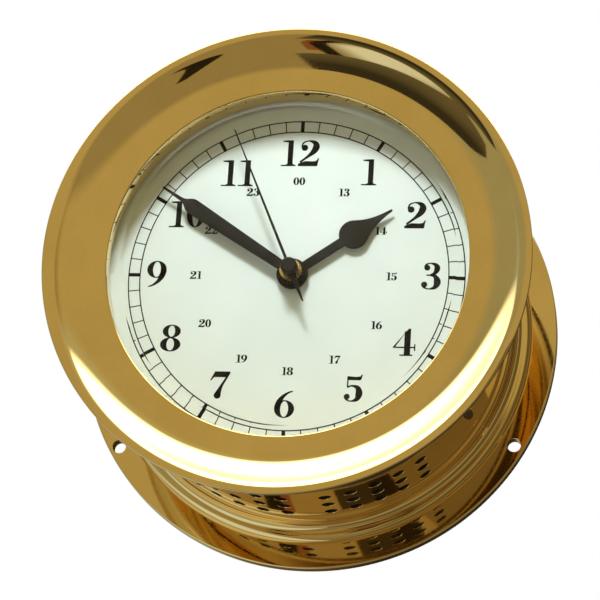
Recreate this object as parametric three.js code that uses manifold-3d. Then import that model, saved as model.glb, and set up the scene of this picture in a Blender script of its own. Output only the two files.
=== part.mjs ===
// Ship's bell clock: a brass bulkhead clock with a screw-on bezel and a quartz bell movement.
// Units are millimetres. Every piece is drawn with the clock lying on its back: z runs from the
// wall flange towards the viewer, y towards twelve o'clock and x towards three o'clock. The outer
// group then stands the clock up, so that it faces -Y with +Z up.
import * as THREE from 'three';
import { mergeVertices } from 'three/addons/utils/BufferGeometryUtils.js';
import Module from 'manifold-3d';

const wasm = await Module();
wasm.setup();

// Case: drum, wall flange and the moulding between them
const CASE_R = 63;
const CASE_WALL = 2.8;
const CASE_DEPTH = 68;
const FLANGE_WIDTH = 12.7;
const FLANGE_T = 3.8;
const EDGE_EASE = 0.5;
const OVOLO_W = 2.6;
const OVOLO_H = 3.2;
const FILLET_H = 0.6;
const COVE_W = 2.6;
const COVE_H = 4.9;
const LEDGE_W = 5.7;
const LEDGE_T = 2.05;
const MOUNT_HOLE_R = 2.15;
const MOUNT_HOLE_EDGE = 3.4;
const MOUNT_HOLE_ANGLES = [-1.3, 118.7, 238.7];

// Sound holes: two groups of columns along the bottom
const SOUND_HOLE_R = 2;
const SOUND_ROWS = 3;
const SOUND_ROW_STEP = 7.6;
const SOUND_MID_Z = 30;
const SOUND_COLUMNS = 5;
const SOUND_COLUMN_STEP = 7.05;
const SOUND_MID_ANGLE = 176.8;
const SOUND_HALF_GAP = 6.1;

// Bezel: lip, tilted band, hollow dish, rounded rim and the two skirts that straddle the drum's rim
const THREAD_GAP = 0.3;
const SKIRT_T = 3.7;
const SKIRT_L = 5;
const INNER_SKIRT_GAP = 0.6;
const INNER_SKIRT_T = 3;
const LIP_COVER = 2.6;
const LIP_T = 3.1;
const SEAT_RISE = 3.5;
const BAND_TILT = 4;
const DISH_TILT = 33;
const DISH_RADIUS = 19.5;
const DISH_TURN = 5.7;
const RIM_REACH = 9.65;
const RIM_ROUND = 0.8;
const RIM_COVE_H = 6.3;

// Crystal, its gasket and the ring that keeps it in the bezel
const CRYSTAL_GAP = 0.4;
const CRYSTAL_T = 1.8;
const CRYSTAL_EDGE_T = 1.1;
const CRYSTAL_BEVEL_W = 3.2;
const GASKET_T = 0.5;
const RETAINER_T = 1.4;
const RETAINER_FIT = 0.05;

// Dial, with two feet that carry the movement
const DIAL_DROP = 8.45;
const DIAL_T = 1;
const DIAL_GAP = 0.6;
const DIAL_HOLE_R = 3.6;
const DIAL_SKIRT_GAP = 1.05;
const DIAL_SCREW_ANGLES = [60, 180, 300];
const DIAL_SCREW_R = 0.8;
const DIAL_SCREW_HEAD_R = 1.2;
const DIAL_SCREW_HEAD_T = 0.5;
const FOOT_R = 1.6;
const FOOT_L = 7;
const FOOT_NUT_R = 3;
const FOOT_NUT_T = 2;

// Fits between turned pieces
const PRESS_FIT = 0.02;
const SLIDE_FIT = 0.2;
const END_PLAY = 0.25;

// Hands: heights above the dial, lengths from the centre and rest angles clockwise from twelve
const HOUR_ANGLE = 54.6;
const HOUR_BOSS_R = 4.7;
const HOUR_BOSS_LIFT = 1.4;
const HOUR_BOSS_T = 1.25;
const HOUR_LENGTH = 35.6;
const HOUR_SHAFT_W = 2.8;
const HOUR_BULB_AT = 21.9;
const HOUR_BULB_W = 8.9;
const HOUR_BULB_TURN = 35;
const MINUTE_ANGLE = 303.4;
const MINUTE_HUB_R = 3.8;
const MINUTE_LIFT = 3.05;
const MINUTE_HUB_T = 1.1;
const MINUTE_LENGTH = 49.2;
const MINUTE_ROOT_W = 2.9;
const MINUTE_WIDEST = 37.6;
const MINUTE_WIDE_W = 4.8;
const MINUTE_NEEDLE = 42.4;
const MINUTE_NEEDLE_W = 1.1;
const SECOND_ANGLE = 336.2;
const SECOND_GAP = 0.55;
const SECOND_CAP_R = 2.5;
const SECOND_CAP_T = 3.65;
const SECOND_BLADE_LIFT = 0.7;
const SECOND_LENGTH = 48.4;
const SECOND_TAIL = 11.5;
const SECOND_ROOT_W = 0.95;
const SECOND_TIP_W = 0.35;
const BLADE_T = 0.6;
const BLADE_TIP_W = 0.5;
const SECOND_BLADE_T = 0.4;
const HAND_NUT_R = 3.35;
const HAND_NUT_T = 2.05;
const HAND_NUT_FLUTES = 24;
const HAND_NUT_FLUTE_DEPTH = 0.25;

// Movement housing and its cover
const HOUSING_W = 64;
const HOUSING_CORNER = 6;
const HOUSING_WALL = 1.8;
const HOUSING_DEPTH = 22.55;
const LUG_REACH = 7.5;
const LUG_W = 9;
const LUG_T = 4.5;
const LUG_HOLE_INSET = 4;
const COVER_T = 2;
const POST_R = 3;
const POST_INSET = 4;
const POST_BOX_GAP = 5;
const COVER_SCREW_R = 1.2;
const COVER_SCREW_HEAD_R = 2.4;
const COVER_SCREW_HEAD_T = 1.6;
const COVER_SCREW_L = 9;

// Gear train: tooth counts, centre distances and the directions of the arbors from the centre
const WHEEL_T = 1.2;
const LEVEL_STEP = 2;
const TOOTH_ADDENDUM = 0.7;
const TOOTH_DEDENDUM = 1.1;
const TOOTH_ROOT_SHARE = 0.25;
const TOOTH_TIP_SHARE = 0.09;
const MOTION_D = 12;
const MOTION_ANGLE = 90;
const THIRD_D = 11.6;
const THIRD_ANGLE = 210;
const INTERMEDIATE_D = 11.6;
const INTERMEDIATE_ANGLE = 330;
const ROTOR_D = 8.1;
const MINUTE_PINION = 8;
const MOTION_WHEEL = 24;
const MOTION_PINION = 8;
const HOUR_WHEEL = 32;
const CENTRE_WHEEL = 48;
const THIRD_PINION = 6;
const THIRD_WHEEL = 45;
const SECONDS_PINION = 6;
const SECONDS_WHEEL = 36;
const INTERMEDIATE_PINION = 6;
const INTERMEDIATE_WHEEL = 30;
const ROTOR_PINION = 6;
const SECONDS_ARBOR_R = 0.5;
const MINUTE_TUBE_R = 1.5;
const MINUTE_TUBE_WALL = 0.7;
const HOUR_PIPE_R = 2.8;
const HOUR_PIPE_WALL = 0.9;
const ARBOR_R = 0.6;
const MOTION_ARBOR_R = 0.9;
const ROTOR_R = 3.2;
const ROTOR_L = 4;

// Motor, circuit and controls
const STATOR_T = 1;
const STATOR_W = 14.6;
const STATOR_BAR = 9;
const STATOR_LEG_W = 2.5;
const STATOR_WALL_GAP = 2.85;
const STATOR_AIR_GAP = 0.5;
const COIL_R = 3;
const COIL_CORE_W = 1.6;
const COIL_END_GAP = 0.3;
const BOARD_W = 14;
const BOARD_H = 15;
const BOARD_T = 1.2;
const BOARD_SIDE_GAP = 1;
const BOARD_TOP_GAP = 2.2;
const BOARD_LIFT = 2.6;
const PILLAR_R = 1.2;
const PILLAR_INSET = 1.8;
const QUARTZ_R = 1.5;
const QUARTZ_L = 7;
const CHIP_W = 5;
const CHIP_T = 1.1;
const KNOB_R = 5;
const KNOB_T = 5;
const KNOB_FLUTES = 16;
const KNOB_FLUTE_DEPTH = 0.5;
const CONTROL_GAP = 0.5;
const CONTROL_SIDE_INSET = 15;
const CONTROL_TOP_INSET = 12;
const VOLUME_R = 6;
const VOLUME_T = 2.4;
const VOLUME_STEM_R = 1.2;
const SWITCH_W = 3.4;
const SWITCH_H = 2.6;
const SWITCH_PROUD = 2.5;
const SWITCH_TRAVEL = 3;
const SWITCH_KEEPER = 1.4;
const SWITCH_KEEPER_T = 0.8;

// Battery box on the cover: two cells side by side, contacts and a sliding door
const CELL_R = 7.25;
const CELL_L = 50.5;
const CELL_NUB_R = 2.75;
const CELL_NUB_L = 1.2;
const CELL_SPACING = 15.2;
const CELL_SIDE_GAP = 0.55;
const CELL_MID_Y = -12;
const BOX_WALL = 1.6;
const CONTACT_T = 1;
const CONTACT_GAP = 0.25;
const CONTACT_W = 9;
const CONTACT_H = 12;
const BOX_RIM_GAP = 0.7;
const DOOR_T = 1.6;
const RAIL_LIP = 1.5;
const RAIL_T = 1.3;
const DOOR_RIDGES = 3;
const DOOR_RIDGE_W = 16;
const DOOR_RIDGE_T = 1.2;

// Speaker below the movement, facing the sound holes
const SPEAKER_R = 19.5;
const SPEAKER_RIM = 2.7;
const SPEAKER_RIM_T = 1.5;
const SPEAKER_DEPTH = 8;
const SPEAKER_WALL = 1.2;
const SPEAKER_GAP = 4.2;
const MAGNET_R = 10;
const MAGNET_T = 6;
const CONE_T = 0.5;
const CONE_DEPTH = 3.4;
const CONE_CAP_R = 5;
const SHELF_W = 24;
const SHELF_T = 2;
const SHELF_L = 27;
const SHELF_WEB_L = 7;

// Facet counts, the weld of a mesh's points, and how far a cutting tool runs past the face it opens
const RING_SIDES = 48;
const HUB_SIDES = 24;
const ROD_SIDES = 12;
const HOLE_SIDES = 10;
const ARC_STEPS = 4;
const DISH_STEPS = 6;
const BLADE_STEPS = 8;
const WELD = 1e-4;
const CUT_PAST = 1;

// Sizes that follow from those above
const BORE_R = CASE_R - CASE_WALL;
const FLANGE_R = CASE_R + FLANGE_WIDTH;
const DIAL_Z = CASE_DEPTH - DIAL_DROP;
const DIAL_BACK = DIAL_Z - DIAL_T;
const DIAL_R = BORE_R - DIAL_GAP;
const SEAT_BORE_R = BORE_R - INNER_SKIRT_GAP - INNER_SKIRT_T;
const OPENING_R = SEAT_BORE_R - LIP_COVER;
const SEAT_Z = CASE_DEPTH + SEAT_RISE;
const CRYSTAL_BACK = SEAT_Z - CRYSTAL_EDGE_T;
const SKIRT_END = DIAL_Z + DIAL_SKIRT_GAP;
const DIAL_SCREW_CIRCLE = BORE_R - LEDGE_W / 2;
const FOOT_X = HOUSING_W / 2 + LUG_REACH - LUG_HOLE_INSET;
const COVER_FRONT = DIAL_BACK - HOUSING_DEPTH;
const COVER_BACK = COVER_FRONT - COVER_T;
const WALL_INSIDE = DIAL_BACK - HOUSING_WALL;
const HOUR_BOSS_Z = DIAL_Z + HOUR_BOSS_LIFT;
const HOUR_FRONT = HOUR_BOSS_Z + HOUR_BOSS_T;
const MINUTE_Z = DIAL_Z + MINUTE_LIFT;
const HAND_NUT_Z = MINUTE_Z + MINUTE_HUB_T;
const MINUTE_FRONT = HAND_NUT_Z + HAND_NUT_T;
const SECOND_Z = MINUTE_FRONT + SECOND_GAP;
const BOX_RIM = COVER_BACK - 2 * CELL_R - BOX_RIM_GAP;
const BOX_INNER_L = CELL_L + 2 * (CONTACT_T + CONTACT_GAP);
const BOX_INNER_W = CELL_SPACING + 2 * (CELL_R + CELL_SIDE_GAP);
const BOX_L = BOX_INNER_L + 2 * BOX_WALL;
const BOX_W = BOX_INNER_W + 2 * BOX_WALL;
const BOX_LOW_Y = CELL_MID_Y - BOX_W / 2;
const BOX_TOP_Y = CELL_MID_Y + BOX_W / 2;
const POST_X = HOUSING_W / 2 - POST_INSET;
const POST_TOP_Y = HOUSING_W / 2 - POST_INSET;
const POST_LOW_Y = BOX_TOP_Y + POST_BOX_GAP;
const BOARD_X = POST_R + BOARD_SIDE_GAP + BOARD_W / 2 - POST_X;
const BOARD_Y = HOUSING_W / 2 - HOUSING_WALL - BOARD_TOP_GAP - BOARD_H / 2;
const VOLUME_X = HOUSING_W / 2 - CONTROL_SIDE_INSET;
const VOLUME_Y = HOUSING_W / 2 - CONTROL_TOP_INSET;
const SWITCH_X = -VOLUME_X;
const SWITCH_Y = VOLUME_Y;

// Wheel levels, from the front of the movement to the back
const LEVEL_HOUR = WALL_INSIDE - END_PLAY - WHEEL_T;
const LEVEL_MOTION = LEVEL_HOUR - LEVEL_STEP;
const LEVEL_CENTRE = LEVEL_MOTION - LEVEL_STEP;
const LEVEL_THIRD = LEVEL_CENTRE - LEVEL_STEP - WHEEL_T;
const LEVEL_SECONDS = LEVEL_THIRD - LEVEL_STEP - WHEEL_T;
const LEVEL_INTERMEDIATE = LEVEL_SECONDS - LEVEL_STEP - WHEEL_T;
const ROTOR_Z = LEVEL_INTERMEDIATE + 1.5 * WHEEL_T;

const radians = THREE.MathUtils.degToRad;
const polar = (radius, angle) => new THREE.Vector2(radius * Math.cos(angle), radius * Math.sin(angle));
const arborAt = (distance, degrees) => polar(distance, radians(degrees));
const MOTION_AT = arborAt(MOTION_D, MOTION_ANGLE);
const THIRD_AT = arborAt(THIRD_D, THIRD_ANGLE);
const INTERMEDIATE_AT = arborAt(INTERMEDIATE_D, INTERMEDIATE_ANGLE);
const ROTOR_AT = arborAt(INTERMEDIATE_D + ROTOR_D, INTERMEDIATE_ANGLE);

// A closed three.js geometry as a solid for joins and cuts, and back again
function toSolid(geometry) {
  const bare = geometry.clone();
  bare.deleteAttribute('normal');
  bare.deleteAttribute('uv');
  const merged = mergeVertices(bare, WELD);
  const index = merged.index.array;
  const kept = [];
  for (let i = 0; i < index.length; i += 3) {
    const [a, b, c] = [index[i], index[i + 1], index[i + 2]];
    if (a !== b && b !== c && c !== a) kept.push(a, b, c);
  }
  return new wasm.Manifold(new wasm.Mesh({
    numProp: 3,
    vertProperties: Float32Array.from(merged.attributes.position.array),
    triVerts: Uint32Array.from(kept),
  }));
}

function toGeometry(solid) {
  const mesh = solid.getMesh();
  const geometry = new THREE.BufferGeometry();
  geometry.setAttribute('position', new THREE.BufferAttribute(Float32Array.from(mesh.vertProperties), 3));
  geometry.setIndex(new THREE.BufferAttribute(Uint32Array.from(mesh.triVerts), 1));
  geometry.computeVertexNormals();
  return geometry;
}

const join = (solids) => wasm.Manifold.union(solids);
const cut = (solid, tools) => solid.subtract(join(tools));

// Points along an ellipse, both ends included
function arc(centreR, centreZ, radiusR, radiusZ, fromDegrees, toDegrees, steps = ARC_STEPS) {
  const points = [];
  for (let i = 0; i <= steps; i += 1) {
    const angle = radians(fromDegrees + (toDegrees - fromDegrees) * i / steps);
    points.push([centreR + radiusR * Math.cos(angle), centreZ + radiusZ * Math.sin(angle)]);
  }
  return points;
}

// A turned solid about the z axis, from a closed outline of [radius, z] points
function turned(outline, sides) {
  const points = outline.map(([radius, z]) => new THREE.Vector2(radius, z));
  if (THREE.ShapeUtils.area(points) < 0) points.reverse();
  points.push(points[0].clone());
  return toSolid(new THREE.LatheGeometry(points, sides).rotateX(Math.PI / 2));
}

const rod = (radius, z0, z1, sides = ROD_SIDES) =>
  turned([[0, z0], [radius, z0], [radius, z1], [0, z1]], sides);

// A drill that runs past both faces it opens
const drill = (radius, z0, z1, sides = ROD_SIDES) => rod(radius, z0 - CUT_PAST, z1 + CUT_PAST, sides);

const tube = (outer, inner, z0, z1, sides = HUB_SIDES) =>
  turned([[inner, z0], [outer, z0], [outer, z1], [inner, z1]], sides);

function block(x0, x1, y0, y1, z0, z1) {
  const geometry = new THREE.BoxGeometry(x1 - x0, y1 - y0, z1 - z0);
  return toSolid(geometry.translate((x0 + x1) / 2, (y0 + y1) / 2, (z0 + z1) / 2));
}

function prism(shape, z0, z1, steps = ARC_STEPS) {
  const options = { depth: z1 - z0, bevelEnabled: false, curveSegments: steps };
  return toSolid(new THREE.ExtrudeGeometry(shape, options).translate(0, 0, z0));
}

function roundedSquare(width, corner) {
  const half = width / 2;
  const shape = new THREE.Shape();
  shape.moveTo(half, corner - half);
  for (const [x, y, start] of [[1, 1, 0], [-1, 1, 90], [-1, -1, 180], [1, -1, 270]]) {
    const inset = half - corner;
    shape.absarc(x * inset, y * inset, corner, radians(start), radians(start + 90));
  }
  return shape;
}

// A radial bore through the drum, at an angle clockwise from twelve
function radialBore(radius, degrees, z) {
  const length = 3 * CASE_WALL;
  const bore = new THREE.CylinderGeometry(radius, radius, length, HOLE_SIDES);
  bore.translate(0, CASE_R - CASE_WALL / 2, z);
  return toSolid(bore.rotateZ(-radians(degrees)));
}

function caseDrum() {
  const foot = CASE_R + COVE_W;
  const coveTop = FLANGE_T + OVOLO_H + FILLET_H + COVE_H;
  const drum = turned([
    [BORE_R, 0],
    [FLANGE_R, 0],
    [FLANGE_R, FLANGE_T - EDGE_EASE],
    [FLANGE_R - EDGE_EASE, FLANGE_T],
    ...arc(foot, FLANGE_T, OVOLO_W, OVOLO_H, 0, 90),
    ...arc(foot, coveTop, COVE_W, COVE_H, 270, 180),
    [CASE_R, CASE_DEPTH - EDGE_EASE],
    [CASE_R - EDGE_EASE, CASE_DEPTH],
    [BORE_R, CASE_DEPTH],
    [BORE_R, DIAL_BACK],
    [BORE_R - LEDGE_W, DIAL_BACK],
    [BORE_R - LEDGE_W, DIAL_BACK - LEDGE_T],
    [BORE_R, DIAL_BACK - LEDGE_T],
  ], RING_SIDES);
  const holes = [];
  for (const side of [-1, 1]) {
    for (let column = 0; column < SOUND_COLUMNS; column += 1) {
      const angle = SOUND_MID_ANGLE + side * (SOUND_HALF_GAP + column * SOUND_COLUMN_STEP);
      for (let row = 0; row < SOUND_ROWS; row += 1) {
        const z = SOUND_MID_Z + (row - (SOUND_ROWS - 1) / 2) * SOUND_ROW_STEP;
        holes.push(radialBore(SOUND_HOLE_R, angle, z));
      }
    }
  }
  for (const angle of MOUNT_HOLE_ANGLES) {
    const at = polar(FLANGE_R - MOUNT_HOLE_EDGE, radians(90 - angle));
    holes.push(drill(MOUNT_HOLE_R, 0, FLANGE_T, 2 * HOLE_SIDES).translate([at.x, at.y, 0]));
  }
  for (const angle of DIAL_SCREW_ANGLES) {
    const at = polar(DIAL_SCREW_CIRCLE, radians(90 - angle));
    const tap = drill(DIAL_SCREW_R + PRESS_FIT, DIAL_BACK - LEDGE_T, DIAL_BACK);
    holes.push(tap.translate([at.x, at.y, 0]));
  }
  return toGeometry(cut(drum, holes));
}

// The dish is hollow up to its steepest place and rounds over from there to the crest
function bezelRing() {
  const band = radians(BAND_TILT);
  const steep = radians(DISH_TILT);
  const lipR = OPENING_R + EDGE_EASE;
  const lipZ = SEAT_Z + LIP_T;
  const turnR = CASE_R + DISH_TURN;
  const hollowR = turnR - DISH_RADIUS * Math.sin(steep);
  const bandW = hollowR + DISH_RADIUS * Math.sin(band) - lipR;
  const hollowZ = lipZ + bandW * Math.tan(band) + DISH_RADIUS * Math.cos(band);
  const crestR = CASE_R + RIM_REACH - RIM_ROUND;
  const crown = (crestR - turnR) / Math.sin(steep);
  const crownZ = hollowZ - (DISH_RADIUS + crown) * Math.cos(steep);
  const rimZ = crownZ + crown - RIM_ROUND;
  const coveFoot = rimZ - RIM_ROUND - RIM_COVE_H;
  const skirtIn = CASE_R + THREAD_GAP;
  const skirtOut = skirtIn + SKIRT_T;
  return toGeometry(turned([
    [OPENING_R, SEAT_Z],
    [OPENING_R, lipZ - EDGE_EASE],
    [lipR, lipZ],
    ...arc(hollowR, hollowZ, DISH_RADIUS, DISH_RADIUS, BAND_TILT - 90, DISH_TILT - 90, DISH_STEPS),
    ...arc(crestR, crownZ, crown, crown, DISH_TILT + 90, 90).slice(1),
    ...arc(crestR, rimZ, RIM_ROUND, RIM_ROUND, 90, -90).slice(1),
    ...arc(crestR, coveFoot, crestR - skirtOut, RIM_COVE_H, 90, 180).slice(1),
    [skirtOut, CASE_DEPTH - SKIRT_L],
    [skirtIn, CASE_DEPTH - SKIRT_L],
    [skirtIn, CASE_DEPTH],
    [BORE_R - INNER_SKIRT_GAP, CASE_DEPTH],
    [BORE_R - INNER_SKIRT_GAP, SKIRT_END],
    [SEAT_BORE_R, SKIRT_END],
    [SEAT_BORE_R, SEAT_Z],
  ], RING_SIDES));
}

function crystalDisc() {
  const edge = SEAT_BORE_R - CRYSTAL_GAP;
  const bevelFoot = OPENING_R - CRYSTAL_GAP;
  const front = CRYSTAL_BACK + CRYSTAL_T;
  return toGeometry(turned([
    [0, CRYSTAL_BACK],
    [edge, CRYSTAL_BACK],
    [edge, SEAT_Z],
    [bevelFoot, SEAT_Z],
    [bevelFoot - CRYSTAL_BEVEL_W, front],
    [0, front],
  ], RING_SIDES));
}

function crystalGasket() {
  const outer = SEAT_BORE_R - CRYSTAL_GAP;
  const inner = SEAT_BORE_R - RETAINER_T + RETAINER_FIT;
  return toGeometry(tube(outer, inner, CRYSTAL_BACK - GASKET_T, CRYSTAL_BACK, RING_SIDES));
}

function crystalRetainer() {
  const outer = SEAT_BORE_R - RETAINER_FIT;
  const inner = SEAT_BORE_R - RETAINER_T;
  return toGeometry(tube(outer, inner, SKIRT_END, CRYSTAL_BACK - GASKET_T, RING_SIDES));
}

function dialPlate() {
  const disc = tube(DIAL_R, DIAL_HOLE_R, DIAL_BACK, DIAL_Z, RING_SIDES);
  const feet = [-FOOT_X, FOOT_X].map((x) =>
    rod(FOOT_R, DIAL_BACK - FOOT_L, DIAL_BACK + DIAL_T / 2).translate([x, 0, 0]));
  const holes = DIAL_SCREW_ANGLES.map((angle) => {
    const at = polar(DIAL_SCREW_CIRCLE, radians(90 - angle));
    return drill(DIAL_SCREW_R + SLIDE_FIT, DIAL_BACK, DIAL_Z).translate([at.x, at.y, 0]);
  });
  return toGeometry(cut(join([disc, ...feet]), holes));
}

// A cheese-head screw whose head sits on z = 0 and whose shank runs to -z
function screw(headR, headT, shankR, shankL) {
  return toGeometry(turned([
    [0, -shankL],
    [shankR, -shankL],
    [shankR, 0],
    [headR, 0],
    [headR, headT],
    [0, headT],
  ], ROD_SIDES));
}

function footNut() {
  const outline = new THREE.EllipseCurve(0, 0, FOOT_NUT_R, FOOT_NUT_R).getPoints(6);
  const hex = prism(new THREE.Shape(outline), 0, FOOT_NUT_T);
  return toGeometry(cut(hex, [drill(FOOT_R + PRESS_FIT, 0, FOOT_NUT_T)]));
}

// Hands point to +y, and lie on z = 0 upwards
function hourHand() {
  const half = HOUR_SHAFT_W / 2;
  const bulb = HOUR_BULB_W / 2;
  const tip = BLADE_TIP_W / 2;
  const foot = Math.asin(half / bulb);
  const turn = radians(HOUR_BULB_TURN);
  const endX = bulb * Math.cos(turn);
  const endY = HOUR_BULB_AT + bulb * Math.sin(turn);
  const leadX = endX - bulb * Math.sin(turn);
  const leadY = endY + bulb * Math.cos(turn);
  const waistX = tip + half / 4;
  const waistY = (leadY + HOUR_LENGTH) / 2;
  const shape = new THREE.Shape();
  shape.moveTo(-half, 0);
  shape.lineTo(half, 0);
  shape.absarc(0, HOUR_BULB_AT, bulb, foot - Math.PI / 2, turn);
  shape.bezierCurveTo(leadX, leadY, waistX, waistY, tip, HOUR_LENGTH);
  shape.lineTo(-tip, HOUR_LENGTH);
  shape.bezierCurveTo(-waistX, waistY, -leadX, leadY, -endX, endY);
  shape.absarc(0, HOUR_BULB_AT, bulb, Math.PI - turn, 1.5 * Math.PI - foot);
  shape.lineTo(-half, 0);
  const rise = (HOUR_BOSS_T - BLADE_T) / 2;
  const blade = prism(shape, rise, rise + BLADE_T, BLADE_STEPS);
  const boss = rod(HOUR_BOSS_R, 0, HOUR_BOSS_T, HUB_SIDES);
  const bore = drill(HOUR_PIPE_R + PRESS_FIT, 0, HOUR_BOSS_T, HUB_SIDES);
  return toGeometry(cut(join([blade, boss]), [bore]));
}

function minuteHand() {
  const root = MINUTE_ROOT_W / 2;
  const wide = MINUTE_WIDE_W / 2;
  const needle = MINUTE_NEEDLE_W / 2;
  const tip = BLADE_TIP_W / 2;
  const shoulder = MINUTE_WIDEST + wide;
  const waist = MINUTE_NEEDLE - wide;
  const shape = new THREE.Shape();
  shape.moveTo(root, 0);
  shape.lineTo(wide, MINUTE_WIDEST);
  shape.bezierCurveTo(wide, shoulder, needle, waist, needle, MINUTE_NEEDLE);
  shape.lineTo(tip, MINUTE_LENGTH);
  shape.lineTo(-tip, MINUTE_LENGTH);
  shape.lineTo(-needle, MINUTE_NEEDLE);
  shape.bezierCurveTo(-needle, waist, -wide, shoulder, -wide, MINUTE_WIDEST);
  shape.lineTo(-root, 0);
  const rise = (MINUTE_HUB_T - BLADE_T) / 2;
  const blade = prism(shape, rise, rise + BLADE_T, BLADE_STEPS);
  const hub = rod(MINUTE_HUB_R, 0, MINUTE_HUB_T, HUB_SIDES);
  const bore = drill(MINUTE_TUBE_R + PRESS_FIT, 0, MINUTE_HUB_T);
  return toGeometry(cut(join([blade, hub]), [bore]));
}

function secondHand() {
  const root = SECOND_ROOT_W / 2;
  const tip = SECOND_TIP_W / 2;
  const shape = new THREE.Shape();
  shape.moveTo(root, 0);
  shape.lineTo(tip, SECOND_LENGTH);
  shape.lineTo(-tip, SECOND_LENGTH);
  shape.lineTo(-root, 0);
  shape.lineTo(-SECOND_ROOT_W, -SECOND_CAP_R);
  shape.lineTo(-tip, -SECOND_TAIL);
  shape.lineTo(tip, -SECOND_TAIL);
  shape.lineTo(SECOND_ROOT_W, -SECOND_CAP_R);
  const blade = prism(shape, SECOND_BLADE_LIFT, SECOND_BLADE_LIFT + SECOND_BLADE_T);
  const cap = turned([
    [0, 0],
    [SECOND_CAP_R, 0],
    [SECOND_CAP_R, SECOND_CAP_T - EDGE_EASE],
    [SECOND_CAP_R - EDGE_EASE, SECOND_CAP_T],
    [0, SECOND_CAP_T],
  ], HUB_SIDES);
  const socket = rod(SECONDS_ARBOR_R + PRESS_FIT, -CUT_PAST, SECOND_CAP_T / 2 + PRESS_FIT);
  return toGeometry(cut(join([blade, cap]), [socket]));
}

// A fluted disc: the knurled hand nut, the setting knob and the volume wheel
function flutedShape(radius, flutes, depth) {
  const points = [];
  for (let i = 0; i < 2 * flutes; i += 1) {
    points.push(polar(i % 2 ? radius - depth : radius, Math.PI * i / flutes));
  }
  return new THREE.Shape(points);
}

function handNut() {
  const body = prism(flutedShape(HAND_NUT_R, HAND_NUT_FLUTES, HAND_NUT_FLUTE_DEPTH), 0, HAND_NUT_T);
  return toGeometry(cut(body, [drill(MINUTE_TUBE_R + PRESS_FIT, 0, HAND_NUT_T)]));
}

// Movement housing: an open-backed tray with lugs for the dial feet, screw posts and a speaker shelf
function movementHousing() {
  const outer = prism(roundedSquare(HOUSING_W, HOUSING_CORNER), COVER_FRONT, DIAL_BACK);
  const inside = roundedSquare(HOUSING_W - 2 * HOUSING_WALL, HOUSING_CORNER - HOUSING_WALL);
  const hollow = prism(inside, COVER_FRONT - CUT_PAST, WALL_INSIDE);
  const half = HOUSING_W / 2;
  const lugs = [-1, 1].map((side) => {
    const ends = [side * (half - HOUSING_WALL / 2), side * (half + LUG_REACH)];
    return block(Math.min(...ends), Math.max(...ends), -LUG_W / 2, LUG_W / 2, DIAL_BACK - LUG_T, DIAL_BACK);
  });
  const posts = coverScrewPlaces().map(([x, y]) =>
    rod(POST_R, COVER_FRONT, WALL_INSIDE + HOUSING_WALL / 2).translate([x, y, 0]));
  const shelf = speakerShelf();
  const holes = [
    drill(HOUR_PIPE_R + SLIDE_FIT, WALL_INSIDE, DIAL_BACK, HUB_SIDES),
    ...[-FOOT_X, FOOT_X].map((x) =>
      drill(FOOT_R + SLIDE_FIT, DIAL_BACK - LUG_T, DIAL_BACK).translate([x, 0, 0])),
    ...coverScrewPlaces().map(([x, y]) =>
      drill(COVER_SCREW_R + PRESS_FIT, COVER_FRONT, COVER_BACK + COVER_SCREW_L).translate([x, y, 0])),
  ];
  return toGeometry(cut(join([cut(outer, [hollow]), ...lugs, ...posts, ...shelf]), holes));
}

function coverScrewPlaces() {
  return [POST_TOP_Y, POST_LOW_Y].flatMap((y) => [[-POST_X, y], [POST_X, y]]);
}

// The speaker's y places: front of its rim, back of its frame and back of its magnet
const SPEAKER_FRONT_Y = -Math.sqrt((BORE_R - SPEAKER_GAP) ** 2 - SPEAKER_R ** 2);
const SPEAKER_BACK_Y = SPEAKER_FRONT_Y + CONE_T + SPEAKER_DEPTH;
const MAGNET_BACK_Y = SPEAKER_BACK_Y + MAGNET_T;

function speakerShelf() {
  const z0 = SOUND_MID_Z - MAGNET_R;
  const z1 = z0 + SHELF_L;
  const x = SHELF_W / 2;
  const wallY = -HOUSING_W / 2 + HOUSING_WALL / 2;
  return [
    block(-x, x, MAGNET_BACK_Y, MAGNET_BACK_Y + SHELF_T, z0, z1),
    block(-x, x, MAGNET_BACK_Y, wallY, z1 - SHELF_WEB_L, z1),
  ];
}

// Turned about the speaker's own axis, then laid so that it faces the bottom of the drum
function speakerPiece(outline) {
  return toGeometry(turned(outline, HUB_SIDES).rotate([90, 0, 0]).translate([0, 0, SOUND_MID_Z]));
}

function speakerMagnet() {
  const [front, back] = [-SPEAKER_BACK_Y, -MAGNET_BACK_Y];
  return speakerPiece([[0, back], [MAGNET_R, back], [MAGNET_R, front], [0, front]]);
}

function speakerFrame() {
  const front = -SPEAKER_FRONT_Y - CONE_T;
  const back = -SPEAKER_BACK_Y;
  const mouth = SPEAKER_R - SPEAKER_RIM;
  return speakerPiece([
    [0, back],
    [MAGNET_R, back],
    [mouth + SPEAKER_WALL, front - SPEAKER_RIM_T],
    [SPEAKER_R, front - SPEAKER_RIM_T],
    [SPEAKER_R, front],
    [mouth, front],
    [MAGNET_R - SPEAKER_WALL, back + SPEAKER_WALL],
    [0, back + SPEAKER_WALL],
  ]);
}

function speakerCone() {
  const front = -SPEAKER_FRONT_Y;
  const mouth = SPEAKER_R - SPEAKER_RIM - SLIDE_FIT;
  const deep = front - CONE_DEPTH;
  return speakerPiece([
    [0, deep - CONE_T],
    [CONE_CAP_R, deep - CONE_T],
    [mouth, front - CONE_T],
    [SPEAKER_R, front - CONE_T],
    [SPEAKER_R, front],
    [mouth, front],
    [CONE_CAP_R, deep],
    [0, deep],
  ]);
}

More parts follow.
